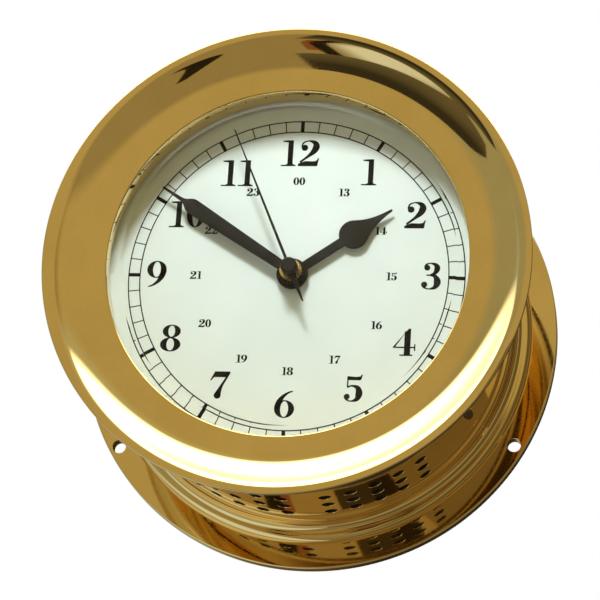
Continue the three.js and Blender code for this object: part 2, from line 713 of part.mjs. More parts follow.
// Cover of the movement: back plate with the battery box, its door rails and pillars for the circuit
function movementCover() {
  const plate = prism(roundedSquare(HOUSING_W, HOUSING_CORNER), COVER_BACK, COVER_FRONT);
  const x = BOX_L / 2;
  const [y0, y1] = [BOX_LOW_Y, BOX_TOP_Y];
  const into = COVER_BACK + COVER_T / 2;
  const box = block(-x, x, y0, y1, BOX_RIM, into);
  const pocket = block(
    -BOX_INNER_L / 2, BOX_INNER_L / 2, y0 + BOX_WALL, y1 - BOX_WALL, BOX_RIM - CUT_PAST, COVER_BACK);
  const railFoot = BOX_RIM - 2 * SLIDE_FIT - DOOR_T - RAIL_T;
  const rails = [-1, 1].flatMap((side) => {
    const outside = x + SLIDE_FIT + RAIL_T;
    const span = (a, b) => [Math.min(side * a, side * b), Math.max(side * a, side * b)];
    const joined = x - BOX_WALL / 2;
    return [
      block(...span(x + SLIDE_FIT, outside), y0, y1, railFoot, into),
      block(...span(joined, outside), y0, y1, BOX_RIM + DOOR_T, into),
      block(...span(x - RAIL_LIP, outside), y0, y1, railFoot, railFoot + RAIL_T),
    ];
  });
  const pillars = boardPillars().map(([px, py]) =>
    rod(PILLAR_R, into, COVER_FRONT + BOARD_LIFT).translate([px, py, 0]));
  const stands = statorLegs().map((leg) =>
    block(leg, leg + STATOR_LEG_W, STATOR_FOOT_Y, STATOR_FOOT_Y + STATOR_LEG_W, into, STATOR_Z));
  const holes = [
    drill(MOTION_ARBOR_R + SLIDE_FIT, COVER_BACK, COVER_FRONT).translate([MOTION_AT.x, MOTION_AT.y, 0]),
    drill(VOLUME_STEM_R + SLIDE_FIT, COVER_BACK, COVER_FRONT).translate([VOLUME_X, VOLUME_Y, 0]),
    block(
      SWITCH_X - SWITCH_W / 2 - SLIDE_FIT, SWITCH_X + SWITCH_W / 2 + SWITCH_TRAVEL + SLIDE_FIT,
      SWITCH_Y - SWITCH_H / 2 - SLIDE_FIT, SWITCH_Y + SWITCH_H / 2 + SLIDE_FIT,
      COVER_BACK - CUT_PAST, COVER_FRONT + CUT_PAST),
    ...coverScrewPlaces().map(([px, py]) =>
      drill(COVER_SCREW_R + SLIDE_FIT, COVER_BACK, COVER_FRONT).translate([px, py, 0])),
  ];
  const body = cut(join([plate, box, ...rails]), [pocket, ...holes]);
  return toGeometry(join([body, ...pillars, ...stands]));
}

function boardPillars() {
  const dx = BOARD_W / 2 - PILLAR_INSET;
  const dy = BOARD_H / 2 - PILLAR_INSET;
  return [-1, 1].flatMap((sx) => [-1, 1].map((sy) => [BOARD_X + sx * dx, BOARD_Y + sy * dy]));
}

function circuitBoard() {
  const z0 = COVER_FRONT + BOARD_LIFT;
  const [dx, dy] = [BOARD_W / 2, BOARD_H / 2];
  return toGeometry(block(BOARD_X - dx, BOARD_X + dx, BOARD_Y - dy, BOARD_Y + dy, z0, z0 + BOARD_T));
}

function quartzCan() {
  const length = QUARTZ_L / 2;
  const can = new THREE.CylinderGeometry(QUARTZ_R, QUARTZ_R, QUARTZ_L, ROD_SIDES);
  can.rotateZ(Math.PI / 2);
  const lift = COVER_FRONT + BOARD_LIFT + BOARD_T + QUARTZ_R;
  const y = BOARD_Y + BOARD_H / 2 - QUARTZ_R - PILLAR_INSET;
  return toGeometry(toSolid(can.translate(BOARD_X - BOARD_W / 2 + length + PILLAR_INSET, y, lift)));
}

function chimeChip() {
  const z0 = COVER_FRONT + BOARD_LIFT + BOARD_T;
  const y = BOARD_Y - BOARD_H / 2 + PILLAR_INSET;
  const half = CHIP_W / 2;
  return toGeometry(block(BOARD_X - half, BOARD_X + half, y, y + CHIP_W, z0, z0 + CHIP_T));
}

// Toothed wheels. Each is drawn with a tooth on +x and turned to mesh where it is placed.
function gear(teeth, module, z0, z1) {
  const pitch = teeth * module / 2;
  const [tip, root] = [pitch + TOOTH_ADDENDUM * module, pitch - TOOTH_DEDENDUM * module];
  const step = 2 * Math.PI / teeth;
  const points = [];
  for (let i = 0; i < teeth; i += 1) {
    for (const [radius, share] of [
      [root, -TOOTH_ROOT_SHARE], [tip, -TOOTH_TIP_SHARE], [tip, TOOTH_TIP_SHARE], [root, TOOTH_ROOT_SHARE]]) {
      points.push(polar(radius, (i + share) * step));
    }
  }
  return prism(new THREE.Shape(points), z0, z1);
}

const moduleOf = (distance, teethA, teethB) => 2 * distance / (teethA + teethB);

// Turn of a wheel B that meshes with a wheel A, where B lies from A at the given angle
function meshTurn(teethA, turnA, teethB, degrees) {
  const direction = radians(degrees);
  const past = (direction - turnA) * teethA / (2 * Math.PI);
  return direction + Math.PI - (0.5 - past) * 2 * Math.PI / teethB;
}

const turn = (solid, angle) => solid.rotate([0, 0, THREE.MathUtils.radToDeg(angle)]);

const MOTION_M = moduleOf(MOTION_D, MINUTE_PINION, MOTION_WHEEL);
const HOUR_M = moduleOf(MOTION_D, MOTION_PINION, HOUR_WHEEL);
const CENTRE_M = moduleOf(THIRD_D, CENTRE_WHEEL, THIRD_PINION);
const THIRD_M = moduleOf(THIRD_D, THIRD_WHEEL, SECONDS_PINION);
const SECONDS_M = moduleOf(INTERMEDIATE_D, SECONDS_WHEEL, INTERMEDIATE_PINION);
const ROTOR_M = moduleOf(ROTOR_D, INTERMEDIATE_WHEEL, ROTOR_PINION);
const ARBOR_BACK = COVER_FRONT + END_PLAY;
const ARBOR_FRONT = WALL_INSIDE - END_PLAY;

function hourWheel() {
  const pinionTurn = meshTurn(MOTION_PINION, 0, HOUR_WHEEL, MOTION_ANGLE + 180);
  const wheel = turn(gear(HOUR_WHEEL, HOUR_M, LEVEL_HOUR, LEVEL_HOUR + WHEEL_T), pinionTurn);
  const pipe = rod(HOUR_PIPE_R, LEVEL_HOUR, HOUR_FRONT, HUB_SIDES);
  const bore = drill(HOUR_PIPE_R - HOUR_PIPE_WALL, LEVEL_HOUR, HOUR_FRONT, HUB_SIDES);
  return toGeometry(cut(join([wheel, pipe]), [bore]));
}

function minuteArbor() {
  const back = LEVEL_CENTRE - SLIDE_FIT;
  const pinion = gear(MINUTE_PINION, MOTION_M, LEVEL_MOTION, LEVEL_MOTION + WHEEL_T);
  const stem = rod(MINUTE_TUBE_R, back, MINUTE_FRONT);
  const bore = drill(MINUTE_TUBE_R - MINUTE_TUBE_WALL, back, MINUTE_FRONT);
  return toGeometry(cut(join([pinion, stem]), [bore]));
}

function motionWheel() {
  const wheelTurn = meshTurn(MINUTE_PINION, 0, MOTION_WHEEL, MOTION_ANGLE);
  const wheel = turn(gear(MOTION_WHEEL, MOTION_M, LEVEL_MOTION, LEVEL_MOTION + WHEEL_T), wheelTurn);
  const pinion = gear(MOTION_PINION, HOUR_M, LEVEL_MOTION + WHEEL_T / 2, LEVEL_HOUR + WHEEL_T);
  const arbor = rod(MOTION_ARBOR_R, COVER_BACK - CONTROL_GAP - KNOB_T / 2, ARBOR_FRONT);
  return toGeometry(join([wheel, pinion, arbor]));
}

function centreWheel() {
  const wheel = gear(CENTRE_WHEEL, CENTRE_M, LEVEL_CENTRE, LEVEL_CENTRE + WHEEL_T);
  const bore = drill(MINUTE_TUBE_R + SLIDE_FIT, LEVEL_CENTRE, LEVEL_CENTRE + WHEEL_T);
  return toGeometry(cut(wheel, [bore]));
}

function secondsArbor() {
  const wheel = gear(SECONDS_WHEEL, SECONDS_M, LEVEL_SECONDS, LEVEL_SECONDS + WHEEL_T);
  const wheelTurn = meshTurn(THIRD_WHEEL, thirdTurn(), SECONDS_PINION, THIRD_ANGLE + 180);
  const pinion = gear(SECONDS_PINION, THIRD_M, LEVEL_SECONDS + WHEEL_T / 2, LEVEL_THIRD + WHEEL_T);
  const arbor = rod(SECONDS_ARBOR_R, ARBOR_BACK, SECOND_Z + SECOND_CAP_T / 2);
  return toGeometry(join([wheel, turn(pinion, wheelTurn), arbor]));
}

const thirdTurn = () => meshTurn(CENTRE_WHEEL, 0, THIRD_PINION, THIRD_ANGLE);

function thirdWheel() {
  const wheel = gear(THIRD_WHEEL, THIRD_M, LEVEL_THIRD, LEVEL_THIRD + WHEEL_T);
  const pinion = gear(THIRD_PINION, CENTRE_M, LEVEL_THIRD + WHEEL_T / 2, LEVEL_CENTRE + WHEEL_T);
  return toGeometry(turn(join([wheel, pinion, rod(ARBOR_R, ARBOR_BACK, ARBOR_FRONT)]), thirdTurn()));
}

const intermediateTurn = () => meshTurn(SECONDS_WHEEL, 0, INTERMEDIATE_PINION, INTERMEDIATE_ANGLE);

function intermediateWheel() {
  const wheel = gear(INTERMEDIATE_WHEEL, ROTOR_M, LEVEL_INTERMEDIATE, LEVEL_INTERMEDIATE + WHEEL_T);
  const top = LEVEL_SECONDS + WHEEL_T;
  const pinion = gear(INTERMEDIATE_PINION, SECONDS_M, LEVEL_INTERMEDIATE + WHEEL_T / 2, top);
  return toGeometry(turn(join([wheel, pinion, rod(ARBOR_R, ARBOR_BACK, ARBOR_FRONT)]), intermediateTurn()));
}

function rotor() {
  const angle = meshTurn(INTERMEDIATE_WHEEL, intermediateTurn(), ROTOR_PINION, INTERMEDIATE_ANGLE);
  const pinion = gear(ROTOR_PINION, ROTOR_M, LEVEL_INTERMEDIATE, LEVEL_INTERMEDIATE + 2 * WHEEL_T);
  const magnet = rod(ROTOR_R, ROTOR_Z, ROTOR_Z + ROTOR_L, HUB_SIDES / 2);
  return toGeometry(turn(join([pinion, magnet, rod(ARBOR_R, ARBOR_BACK, ARBOR_FRONT)]), angle));
}

// Stepper motor: a U of stator plate round the rotor, with the coil between its legs
const STATOR_Z = ROTOR_Z + ROTOR_L / 2 - STATOR_T / 2;
const STATOR_X = ROTOR_AT.x - STATOR_W / 2 + STATOR_LEG_W;
const STATOR_TOP_Y = ROTOR_AT.y + STATOR_BAR / 2;
const STATOR_FOOT_Y = HOUSING_WALL + STATOR_WALL_GAP - HOUSING_W / 2;

function statorLegs() {
  return [STATOR_X, STATOR_X + STATOR_W - STATOR_LEG_W];
}

function stator() {
  const top = block(
    STATOR_X, STATOR_X + STATOR_W, STATOR_TOP_Y - STATOR_BAR, STATOR_TOP_Y, STATOR_Z, STATOR_Z + STATOR_T);
  const legs = statorLegs().map((x) =>
    block(x, x + STATOR_LEG_W, STATOR_FOOT_Y, STATOR_TOP_Y - STATOR_BAR / 2, STATOR_Z, STATOR_Z + STATOR_T));
  const opening = drill(ROTOR_R + STATOR_AIR_GAP, STATOR_Z, STATOR_Z + STATOR_T, HUB_SIDES / 2);
  return toGeometry(cut(join([top, ...legs]), [opening.translate([ROTOR_AT.x, ROTOR_AT.y, 0])]));
}

function coil() {
  const inside = STATOR_W - 2 * STATOR_LEG_W;
  const winding = new THREE.CylinderGeometry(COIL_R, COIL_R, inside - 4 * COIL_END_GAP, ROD_SIDES);
  const core = new THREE.BoxGeometry(COIL_CORE_W, inside - COIL_END_GAP, COIL_CORE_W);
  const middle = [STATOR_X + STATOR_W / 2, STATOR_FOOT_Y + COIL_R, STATOR_Z + STATOR_T / 2];
  const pieces = [winding, core].map((geometry) =>
    toSolid(geometry.rotateZ(Math.PI / 2).translate(...middle)));
  return toGeometry(join(pieces));
}

// Controls on the back of the cover
function setKnob() {
  const back = COVER_BACK - CONTROL_GAP - KNOB_T;
  const body = prism(flutedShape(KNOB_R, KNOB_FLUTES, KNOB_FLUTE_DEPTH), back, back + KNOB_T);
  const socket = rod(MOTION_ARBOR_R + PRESS_FIT, back + KNOB_T / 2 - PRESS_FIT, back + KNOB_T + CUT_PAST);
  return toGeometry(cut(body, [socket]));
}

function volumeWheel() {
  const back = COVER_BACK - CONTROL_GAP - VOLUME_T;
  const wheel = prism(flutedShape(VOLUME_R, KNOB_FLUTES, KNOB_FLUTE_DEPTH), back, back + VOLUME_T);
  return toGeometry(join([wheel, rod(VOLUME_STEM_R, back, COVER_FRONT)]));
}

function bellSwitch() {
  const [x, y] = [SWITCH_W / 2, SWITCH_H / 2];
  const inside = COVER_FRONT + SLIDE_FIT;
  const button = block(-x, x, -y, y, COVER_BACK - SWITCH_PROUD, inside + SWITCH_KEEPER_T);
  const [kx, ky] = [x + SWITCH_KEEPER, y + SWITCH_KEEPER];
  const keeper = block(-kx, kx, -ky, ky, inside, inside + SWITCH_KEEPER_T);
  return toGeometry(join([button, keeper]));
}

// Battery cells lie along x on the cover plate; the second one is turned end for end
function cell() {
  const bodyL = CELL_L - CELL_NUB_L;
  const sides = 2 * ROD_SIDES;
  const flat = CELL_R * Math.cos(Math.PI / sides);
  const can = turned([
    [0, -CELL_L / 2],
    [CELL_R, -CELL_L / 2],
    [CELL_R, bodyL - CELL_L / 2],
    [CELL_NUB_R, bodyL - CELL_L / 2],
    [CELL_NUB_R, CELL_L / 2],
    [0, CELL_L / 2],
  ], sides);
  const halfFacet = 180 / sides;
  return toGeometry(can.rotate([0, 0, halfFacet]).rotate([0, 90, 0]).translate([0, 0, COVER_BACK - flat]));
}

function contact(side, y0, y1) {
  const inner = side * (BOX_INNER_L / 2 - CONTACT_T);
  const outer = side * BOX_INNER_L / 2;
  const middle = COVER_BACK - CELL_R;
  return toGeometry(block(
    Math.min(inner, outer), Math.max(inner, outer), y0, y1, middle - CONTACT_H / 2, middle + CONTACT_H / 2));
}

function batteryDoor() {
  const front = BOX_RIM - SLIDE_FIT;
  const back = front - DOOR_T;
  const plate = block(-BOX_L / 2, BOX_L / 2, BOX_LOW_Y, BOX_TOP_Y, back, front);
  const ridges = [];
  for (let i = 0; i < DOOR_RIDGES; i += 1) {
    const [x, y] = [DOOR_RIDGE_W / 2, BOX_LOW_Y + (2 * i + 1) * DOOR_RIDGE_T];
    ridges.push(block(-x, x, y, y + DOOR_RIDGE_T, back - DOOR_RIDGE_T, back + DOOR_T / 2));
  }
  return toGeometry(join([plate, ...ridges]));
}

// Materials, one for each mesh
const BRASS = { color: 0xc79a3c, roughness: 0.16, metalness: 1 };
const GEAR_BRASS = { color: 0xb8903f, roughness: 0.35, metalness: 1 };
const STEEL = { color: 0xb9bcc0, roughness: 0.3, metalness: 1 };
const BLACK_METAL = { color: 0x1d1a17, roughness: 0.45, metalness: 0.3 };
const BLACK_PLASTIC = { color: 0x17181a, roughness: 0.55, metalness: 0 };
const WHITE_PAINT = { color: 0xf2f4ee, roughness: 0.4, metalness: 0 };
const GLASS = { color: 0xf4fbf8, roughness: 0.02, metalness: 0, transparent: true, opacity: 0.25 };
const RUBBER = { color: 0x202020, roughness: 0.8, metalness: 0 };
const COPPER = { color: 0xb4633a, roughness: 0.4, metalness: 1 };
const BOARD_GREEN = { color: 0x1f5a35, roughness: 0.5, metalness: 0 };
const CELL_WRAP = { color: 0x2f4a63, roughness: 0.35, metalness: 0.2 };
const PAPER_CONE = { color: 0x2a2724, roughness: 0.9, metalness: 0 };

const clock = new THREE.Group();
clock.rotation.x = Math.PI / 2;

// Adds one named mesh; the turn is clockwise from twelve, in degrees
function add(name, geometry, material, place = {}) {
  const { x = 0, y = 0, z = 0, clockwise = 0 } = place;
  const mesh = new THREE.Mesh(geometry, new THREE.MeshStandardMaterial(material));
  mesh.name = name;
  mesh.position.set(x, y, z);
  mesh.rotation.z = -radians(clockwise);
  clock.add(mesh);
}

add('case', caseDrum(), BRASS);
add('bezel', bezelRing(), BRASS);
add('crystal', crystalDisc(), GLASS);
add('crystal_gasket', crystalGasket(), RUBBER);
add('crystal_retainer', crystalRetainer(), BRASS);

add('dial', dialPlate(), WHITE_PAINT);
DIAL_SCREW_ANGLES.forEach((angle, i) => {
  const at = polar(DIAL_SCREW_CIRCLE, radians(90 - angle));
  const shape = screw(DIAL_SCREW_HEAD_R, DIAL_SCREW_HEAD_T, DIAL_SCREW_R, DIAL_T + LEDGE_T);
  add(`dial_screw_${i + 1}`, shape, STEEL, { x: at.x, y: at.y, z: DIAL_Z });
});

add('hour_hand', hourHand(), BLACK_METAL, { z: HOUR_BOSS_Z, clockwise: HOUR_ANGLE });
add('minute_hand', minuteHand(), BLACK_METAL, { z: MINUTE_Z, clockwise: MINUTE_ANGLE });
add('hand_nut', handNut(), GEAR_BRASS, { z: HAND_NUT_Z });
add('second_hand', secondHand(), BLACK_METAL, { z: SECOND_Z, clockwise: SECOND_ANGLE });

add('movement_housing', movementHousing(), BLACK_PLASTIC);
add('movement_cover', movementCover(), BLACK_PLASTIC);
coverScrewPlaces().forEach(([x, y], i) => {
  const shape = screw(COVER_SCREW_HEAD_R, COVER_SCREW_HEAD_T, COVER_SCREW_R, COVER_SCREW_L).rotateY(Math.PI);
  add(`cover_screw_${i + 1}`, shape, STEEL, { x, y, z: COVER_BACK });
});
add('dial_foot_nut_left', footNut(), STEEL, { x: -FOOT_X, z: DIAL_BACK - LUG_T - FOOT_NUT_T });
add('dial_foot_nut_right', footNut(), STEEL, { x: FOOT_X, z: DIAL_BACK - LUG_T - FOOT_NUT_T });

add('hour_wheel', hourWheel(), GEAR_BRASS);
add('minute_arbor', minuteArbor(), GEAR_BRASS);
add('motion_wheel', motionWheel(), GEAR_BRASS, MOTION_AT);
add('centre_wheel', centreWheel(), GEAR_BRASS);
add('seconds_arbor', secondsArbor(), GEAR_BRASS);
add('third_wheel', thirdWheel(), GEAR_BRASS, THIRD_AT);
add('intermediate_wheel', intermediateWheel(), GEAR_BRASS, INTERMEDIATE_AT);
add('rotor', rotor(), STEEL, ROTOR_AT);
add('stator', stator(), STEEL);
add('coil', coil(), COPPER);
add('circuit_board', circuitBoard(), BOARD_GREEN);
add('quartz_can', quartzCan(), STEEL);
add('chime_chip', chimeChip(), BLACK_PLASTIC);

add('set_knob', setKnob(), BLACK_PLASTIC, MOTION_AT);
add('volume_wheel', volumeWheel(), BLACK_PLASTIC, { x: VOLUME_X, y: VOLUME_Y });
add('bell_switch', bellSwitch(), WHITE_PAINT, { x: SWITCH_X, y: SWITCH_Y });

const CELL_LOW_Y = CELL_MID_Y - CELL_SPACING / 2;
const CELL_HIGH_Y = CELL_MID_Y + CELL_SPACING / 2;
add('cell_low', cell(), CELL_WRAP, { y: CELL_LOW_Y });
add('cell_high', cell().rotateZ(Math.PI), CELL_WRAP, { y: CELL_HIGH_Y });
add('contact_positive', contact(1, CELL_LOW_Y - CONTACT_W / 2, CELL_LOW_Y + CONTACT_W / 2), STEEL);
add('contact_negative', contact(1, CELL_HIGH_Y - CONTACT_W / 2, CELL_HIGH_Y + CONTACT_W / 2), STEEL);
add('contact_bridge', contact(-1, CELL_LOW_Y - CONTACT_W / 2, CELL_HIGH_Y + CONTACT_W / 2), STEEL);
add('battery_door', batteryDoor(), BLACK_PLASTIC);

add('speaker_magnet', speakerMagnet(), STEEL);
add('speaker_frame', speakerFrame(), BLACK_METAL);
add('speaker_cone', speakerCone(), PAPER_CONE);

export default clock;
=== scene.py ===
"""Looks of the ship's bell clock: fine brass, bevelled glass, dial print, studio and camera."""
import math

import bmesh
import bpy
from mathutils import Matrix, Vector


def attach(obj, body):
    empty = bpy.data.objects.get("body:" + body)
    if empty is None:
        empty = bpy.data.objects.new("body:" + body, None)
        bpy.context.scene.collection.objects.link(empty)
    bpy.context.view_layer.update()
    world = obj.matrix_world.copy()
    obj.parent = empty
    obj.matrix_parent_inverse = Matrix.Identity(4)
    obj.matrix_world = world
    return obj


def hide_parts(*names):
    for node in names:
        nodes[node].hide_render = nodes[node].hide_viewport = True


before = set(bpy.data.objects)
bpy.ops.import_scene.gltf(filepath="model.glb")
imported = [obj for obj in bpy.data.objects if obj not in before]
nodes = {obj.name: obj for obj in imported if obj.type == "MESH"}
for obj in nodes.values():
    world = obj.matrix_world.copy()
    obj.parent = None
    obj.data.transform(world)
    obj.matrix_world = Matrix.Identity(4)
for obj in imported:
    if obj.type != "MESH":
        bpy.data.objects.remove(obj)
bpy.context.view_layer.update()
scene = bpy.context.scene

MM = 0.001

# Turned sizes in millimetres, as in the part: radius from the clock's axis, depth from the flange's back
CASE_R = 63.0
BORE_R = 60.2
CASE_DEPTH = 68.0
FLANGE_R = 75.7
FLANGE_T = 3.8
OVOLO = (2.6, 3.2)
FILLET_H = 0.6
COVE = (2.6, 4.9)
EDGE_EASE = 0.5
LEDGE_W = 5.7
DIAL_Z = 59.55
DIAL_BACK = 58.55
LEDGE_T = 2.05
SEAT_Z = 71.5
OPENING_R = 54.0
SEAT_BORE_R = 56.6
SKIRT_END = 60.6
LIP_T = 3.1
BAND_TILT = 4.0
DISH_TILT = 33.0
DISH_RADIUS = 19.5
TURN_R = 68.7
RIM_R = 72.65
RIM_ROUND = 0.8
RIM_EASE = 0.25
RIM_COVE_H = 6.3
SKIRT_IN = 63.3
SKIRT_OUT = 67.0
SKIRT_BACK = 63.0
INNER_SKIRT_R = 59.6
CRYSTAL_BACK = 70.4
CRYSTAL_FRONT = 72.2
CRYSTAL_R = 56.2
BEVEL_OUT = 53.6
BEVEL_IN = 50.4
BEVEL_EASE = (0.1, 0.04)
LATHE_SIDES = 240

# Holes of the case in millimetres, and their angles in degrees clockwise from twelve
HOLE_SIDES = 24
HOLE_FLARE = 0.12
SOUND_HOLE_R = 2.0
SOUND_HOLE_FROM = 57.0
SOUND_ROWS = 3
SOUND_ROW_STEP = 7.6
SOUND_FIRST_Z = 22.4
SOUND_COLUMNS = 5
SOUND_COLUMN_STEP = 7.05
SOUND_MID_ANGLE = 176.8
SOUND_HALF_GAP = 6.1
MOUNT_HOLE_R = 2.15
MOUNT_HOLE_FROM = -1.0
MOUNT_CIRCLE_R = 72.3
MOUNT_HOLE_ANGLES = (-1.3, 118.7, 238.7)
DIAL_SCREW_HOLE_R = 0.82
DIAL_SCREW_HOLE_FROM = 55.0
DIAL_SCREW_FLARE = 0.02
DIAL_SCREW_CIRCLE_R = 57.35
DIAL_SCREW_ANGLES = (60, 180, 300)

# Shading of the turned pieces: angles of sharp edges in degrees, margins in millimetres, and how straight
# a face has to look along the axis or away from it to count as flat or as part of a wall
SHARP_ANGLE = 28
GLASS_SHARP_ANGLE = 10
FLAT_FACING = 0.9999
WALL_FACING = 0.99
WALL_MARGIN = 0.15
INSIDE_MARGIN = 0.2
END_MARGIN = 0.01

# Dial print in millimetres; each night hour is printed twice, a little to each side, which makes it bolder
INK_LIFT = 0.03
HOUR_HEIGHT = 8.5
NIGHT_HEIGHT = 2.5
NIGHT_SHIFT = 0.06
TRACK_IN = 46.75
TRACK_OUT = 50.2
TRACK_LINE_HALF = 0.18
MINUTES = 60
MINUTES_TO_MARK = 5
MARK_HALF = 0.56
TICK_HALF = 0.16
PEN_STEPS = 6
BOWL_STEPS = 40
BALL_STEPS = 20


def place(x, y, z):
    """A point of the clock's drawing, x right, y up, z forward in millimetres, in the shared frame."""
    return Vector((x, -z, y)) * MM


def arc(centre_r, centre_z, radius_r, radius_z, start, stop, steps):
    """Outline points along an arc, from start to stop in degrees."""
    points = []
    for i in range(steps + 1):
        angle = math.radians(start + (stop - start) * i / steps)
        points.append((centre_r + radius_r * math.cos(angle), centre_z + radius_z * math.sin(angle)))
    return points


def mesh_object(name, bm, material=None):
    """Turns a bmesh into an object of the scene."""
    mesh = bpy.data.meshes.new(name)
    bm.to_mesh(mesh)
    bm.free()
    if material is not None:
        mesh.materials.append(material)
    obj = bpy.data.objects.new(name, mesh)
    scene.collection.objects.link(obj)
    return obj


def shade_smooth(mesh, sharp):
    """Shades a mesh smooth, apart from its edges above an angle in degrees."""
    mesh.polygons.foreach_set("use_smooth", [True] * len(mesh.polygons))
    mesh.set_sharp_from_angle(angle=math.radians(sharp))


def add_piece(name, bm, material, body):
    """Turns a bmesh into a piece that rides on a body."""
    obj = mesh_object(name, bm, material)
    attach(obj, body)
    return obj


def lathe(outline):
    """A closed turned mesh from an outline of (radius, z) points."""
    bm = bmesh.new()
    rings = []
    for radius, z in outline:
        if radius == 0:
            rings.append([bm.verts.new(place(0, 0, z))])
            continue
        ring = []
        for i in range(LATHE_SIDES):
            angle = 2 * math.pi * i / LATHE_SIDES
            ring.append(bm.verts.new(place(radius * math.sin(angle), radius * math.cos(angle), z)))
        rings.append(ring)
    for ring, after in zip(rings, rings[1:] + rings[:1]):
        if len(ring) == 1 and len(after) == 1:
            continue
        for i in range(LATHE_SIDES):
            j = (i + 1) % LATHE_SIDES
            corners = [ring[i % len(ring)], ring[j % len(ring)], after[j % len(after)], after[i % len(after)]]
            bm.faces.new(list(dict.fromkeys(corners)))
    bmesh.ops.recalc_face_normals(bm, faces=bm.faces)
    return bm


class Nodes:
    """A short way to wire a node tree."""

    def __init__(self, tree):
        self.tree = tree
        tree.nodes.clear()

    def put(self, socket, value):
        """Sets an input to a value, or links it to another node's output."""
        if isinstance(value, bpy.types.NodeSocket):
            self.tree.links.new(value, socket)
        else:
            socket.default_value = value

    def add(self, kind, inputs=None, **settings):
        node = self.tree.nodes.new(kind)
        for key, value in settings.items():
            setattr(node, key, value)
        for key, value in (inputs or {}).items():
            self.put(node.inputs[key], value)
        return node

    def math(self, operation, a, b=0.0):
        return self.add("ShaderNodeMath", {0: a, 1: b}, operation=operation).outputs[0]

    def step(self, value, low, high, to_min=0.0, to_max=1.0):
        inputs = {"Value": value, "From Min": low, "From Max": high, "To Min": to_min, "To Max": to_max}
        return self.add("ShaderNodeMapRange", inputs, interpolation_type="SMOOTHSTEP").outputs[0]

    def noise(self, vector, scale, detail=3.0, rough=0.55):
        inputs = {"Vector": vector, "Scale": scale, "Detail": detail, "Roughness": rough}
        return self.add("ShaderNodeTexNoise", inputs).outputs["Fac"]

    def mix(self, fac, a, b):
        return self.add("ShaderNodeMix", {0: fac, 6: a, 7: b}, data_type="RGBA").outputs[2]


def rgb(red, green, blue):
    return (red, green, blue, 1.0)


def new_material(name):
    """A new material, and its empty node tree."""
    material = bpy.data.materials.new(name)
    material.use_nodes = True
    return material, Nodes(material.node_tree)


# How the fine grain joins the broad noise, where each fades from low to high, and the depth in metres
GRAIN_DETAIL = 4.0
GRAIN_ROUGHNESS = 0.6
GRAIN_SHARE = 0.35
COLOUR_FADE = (0.42, 0.95)
ROUGH_FADE = (0.3, 0.75)
GRAIN_DEPTH = 0.00005


def finish_material(name, dark, light, rough, scale, grain, bump, settings=None):
    """A material whose colour, roughness and grain vary; scale and grain are noise scales per metre."""
    material, tree = new_material(name)
    where = tree.add("ShaderNodeTexCoord").outputs["Object"]
    broad = tree.noise(where, scale)
    fine = tree.noise(where, grain, GRAIN_DETAIL, GRAIN_ROUGHNESS)
    blend = tree.step(tree.math("ADD", broad, tree.math("MULTIPLY", fine, GRAIN_SHARE)), *COLOUR_FADE)
    inputs = {
        "Base Color": tree.mix(blend, dark, light),
        "Roughness": tree.step(fine, *ROUGH_FADE, *rough),
    }
    inputs.update(settings or {})
    if bump > 0:
        relief = tree.add("ShaderNodeBump", {"Height": fine, "Strength": bump, "Distance": GRAIN_DEPTH})
        inputs["Normal"] = relief.outputs[0]
    shader = tree.add("ShaderNodeBsdfPrincipled", inputs)
    tree.add("ShaderNodeOutputMaterial", {"Surface": shader.outputs[0]})
    return material


BRASS = finish_material(
    "polished_brass", rgb(0.83, 0.59, 0.225), rgb(0.89, 0.65, 0.265),
    rough=(0.03, 0.06), scale=45, grain=900, bump=0.008,
    settings={"Metallic": 1.0, "Coat Weight": 0.25, "Coat Roughness": 0.04})
# Dull brass, painted far darker than brass: painted shade for the inside of the drum and the walls of its
# holes
SHADED_INSIDE = finish_material(
    "dull_brass_painted_shade", rgb(0.045, 0.032, 0.014), rgb(0.085, 0.060, 0.026),
    rough=(0.5, 0.7), scale=120, grain=1500, bump=0.1,
    settings={"Metallic": 0.4})
GEAR_BRASS = finish_material(
    "cut_brass", rgb(0.58, 0.37, 0.12), rgb(0.74, 0.50, 0.18),
    rough=(0.2, 0.34), scale=160, grain=2600, bump=0.1,
    settings={"Metallic": 1.0})
GLASS = finish_material(
    "crystal_glass", rgb(0.965, 0.985, 0.97), rgb(0.985, 0.995, 0.985),
    rough=(0.0, 0.004), scale=30, grain=400, bump=0.0,
    settings={"Transmission Weight": 1.0, "IOR": 1.5, "Specular Tint": rgb(0.2, 0.2, 0.2)})
RUBBER = finish_material(
    "seal_rubber", rgb(0.012, 0.012, 0.012), rgb(0.03, 0.03, 0.03),
    rough=(0.6, 0.8), scale=120, grain=2200, bump=0.2)
DIAL = finish_material(
    "dial_enamel", rgb(0.77, 0.845, 0.83), rgb(0.81, 0.885, 0.87),
    rough=(0.5, 0.62), scale=60, grain=2400, bump=0.05,
    settings={"Specular IOR Level": 0.3})
INK = finish_material(
    "dial_ink", rgb(0.003, 0.003, 0.003), rgb(0.008, 0.007, 0.006),
    rough=(0.7, 0.85), scale=300, grain=4000, bump=0.05,
    settings={"Specular IOR Level": 0.15})
HAND = finish_material(
    "blackened_hand", rgb(0.006, 0.005, 0.003), rgb(0.014, 0.011, 0.007),
    rough=(0.6, 0.75), scale=220, grain=3200, bump=0.1,
    settings={"Specular IOR Level": 0.2})
BLACK_PLASTIC = finish_material(
    "moulded_black", rgb(0.016, 0.016, 0.017), rgb(0.032, 0.032, 0.034),
    rough=(0.38, 0.55), scale=90, grain=3000, bump=0.35)
WHITE_PLASTIC = finish_material(
    "moulded_white", rgb(0.62, 0.61, 0.58), rgb(0.72, 0.71, 0.68),
    rough=(0.35, 0.5), scale=90, grain=3000, bump=0.2)
STEEL = finish_material(
    "plated_steel", rgb(0.50, 0.50, 0.50), rgb(0.66, 0.66, 0.65),
    rough=(0.2, 0.36), scale=200, grain=3000, bump=0.1,
    settings={"Metallic": 1.0})
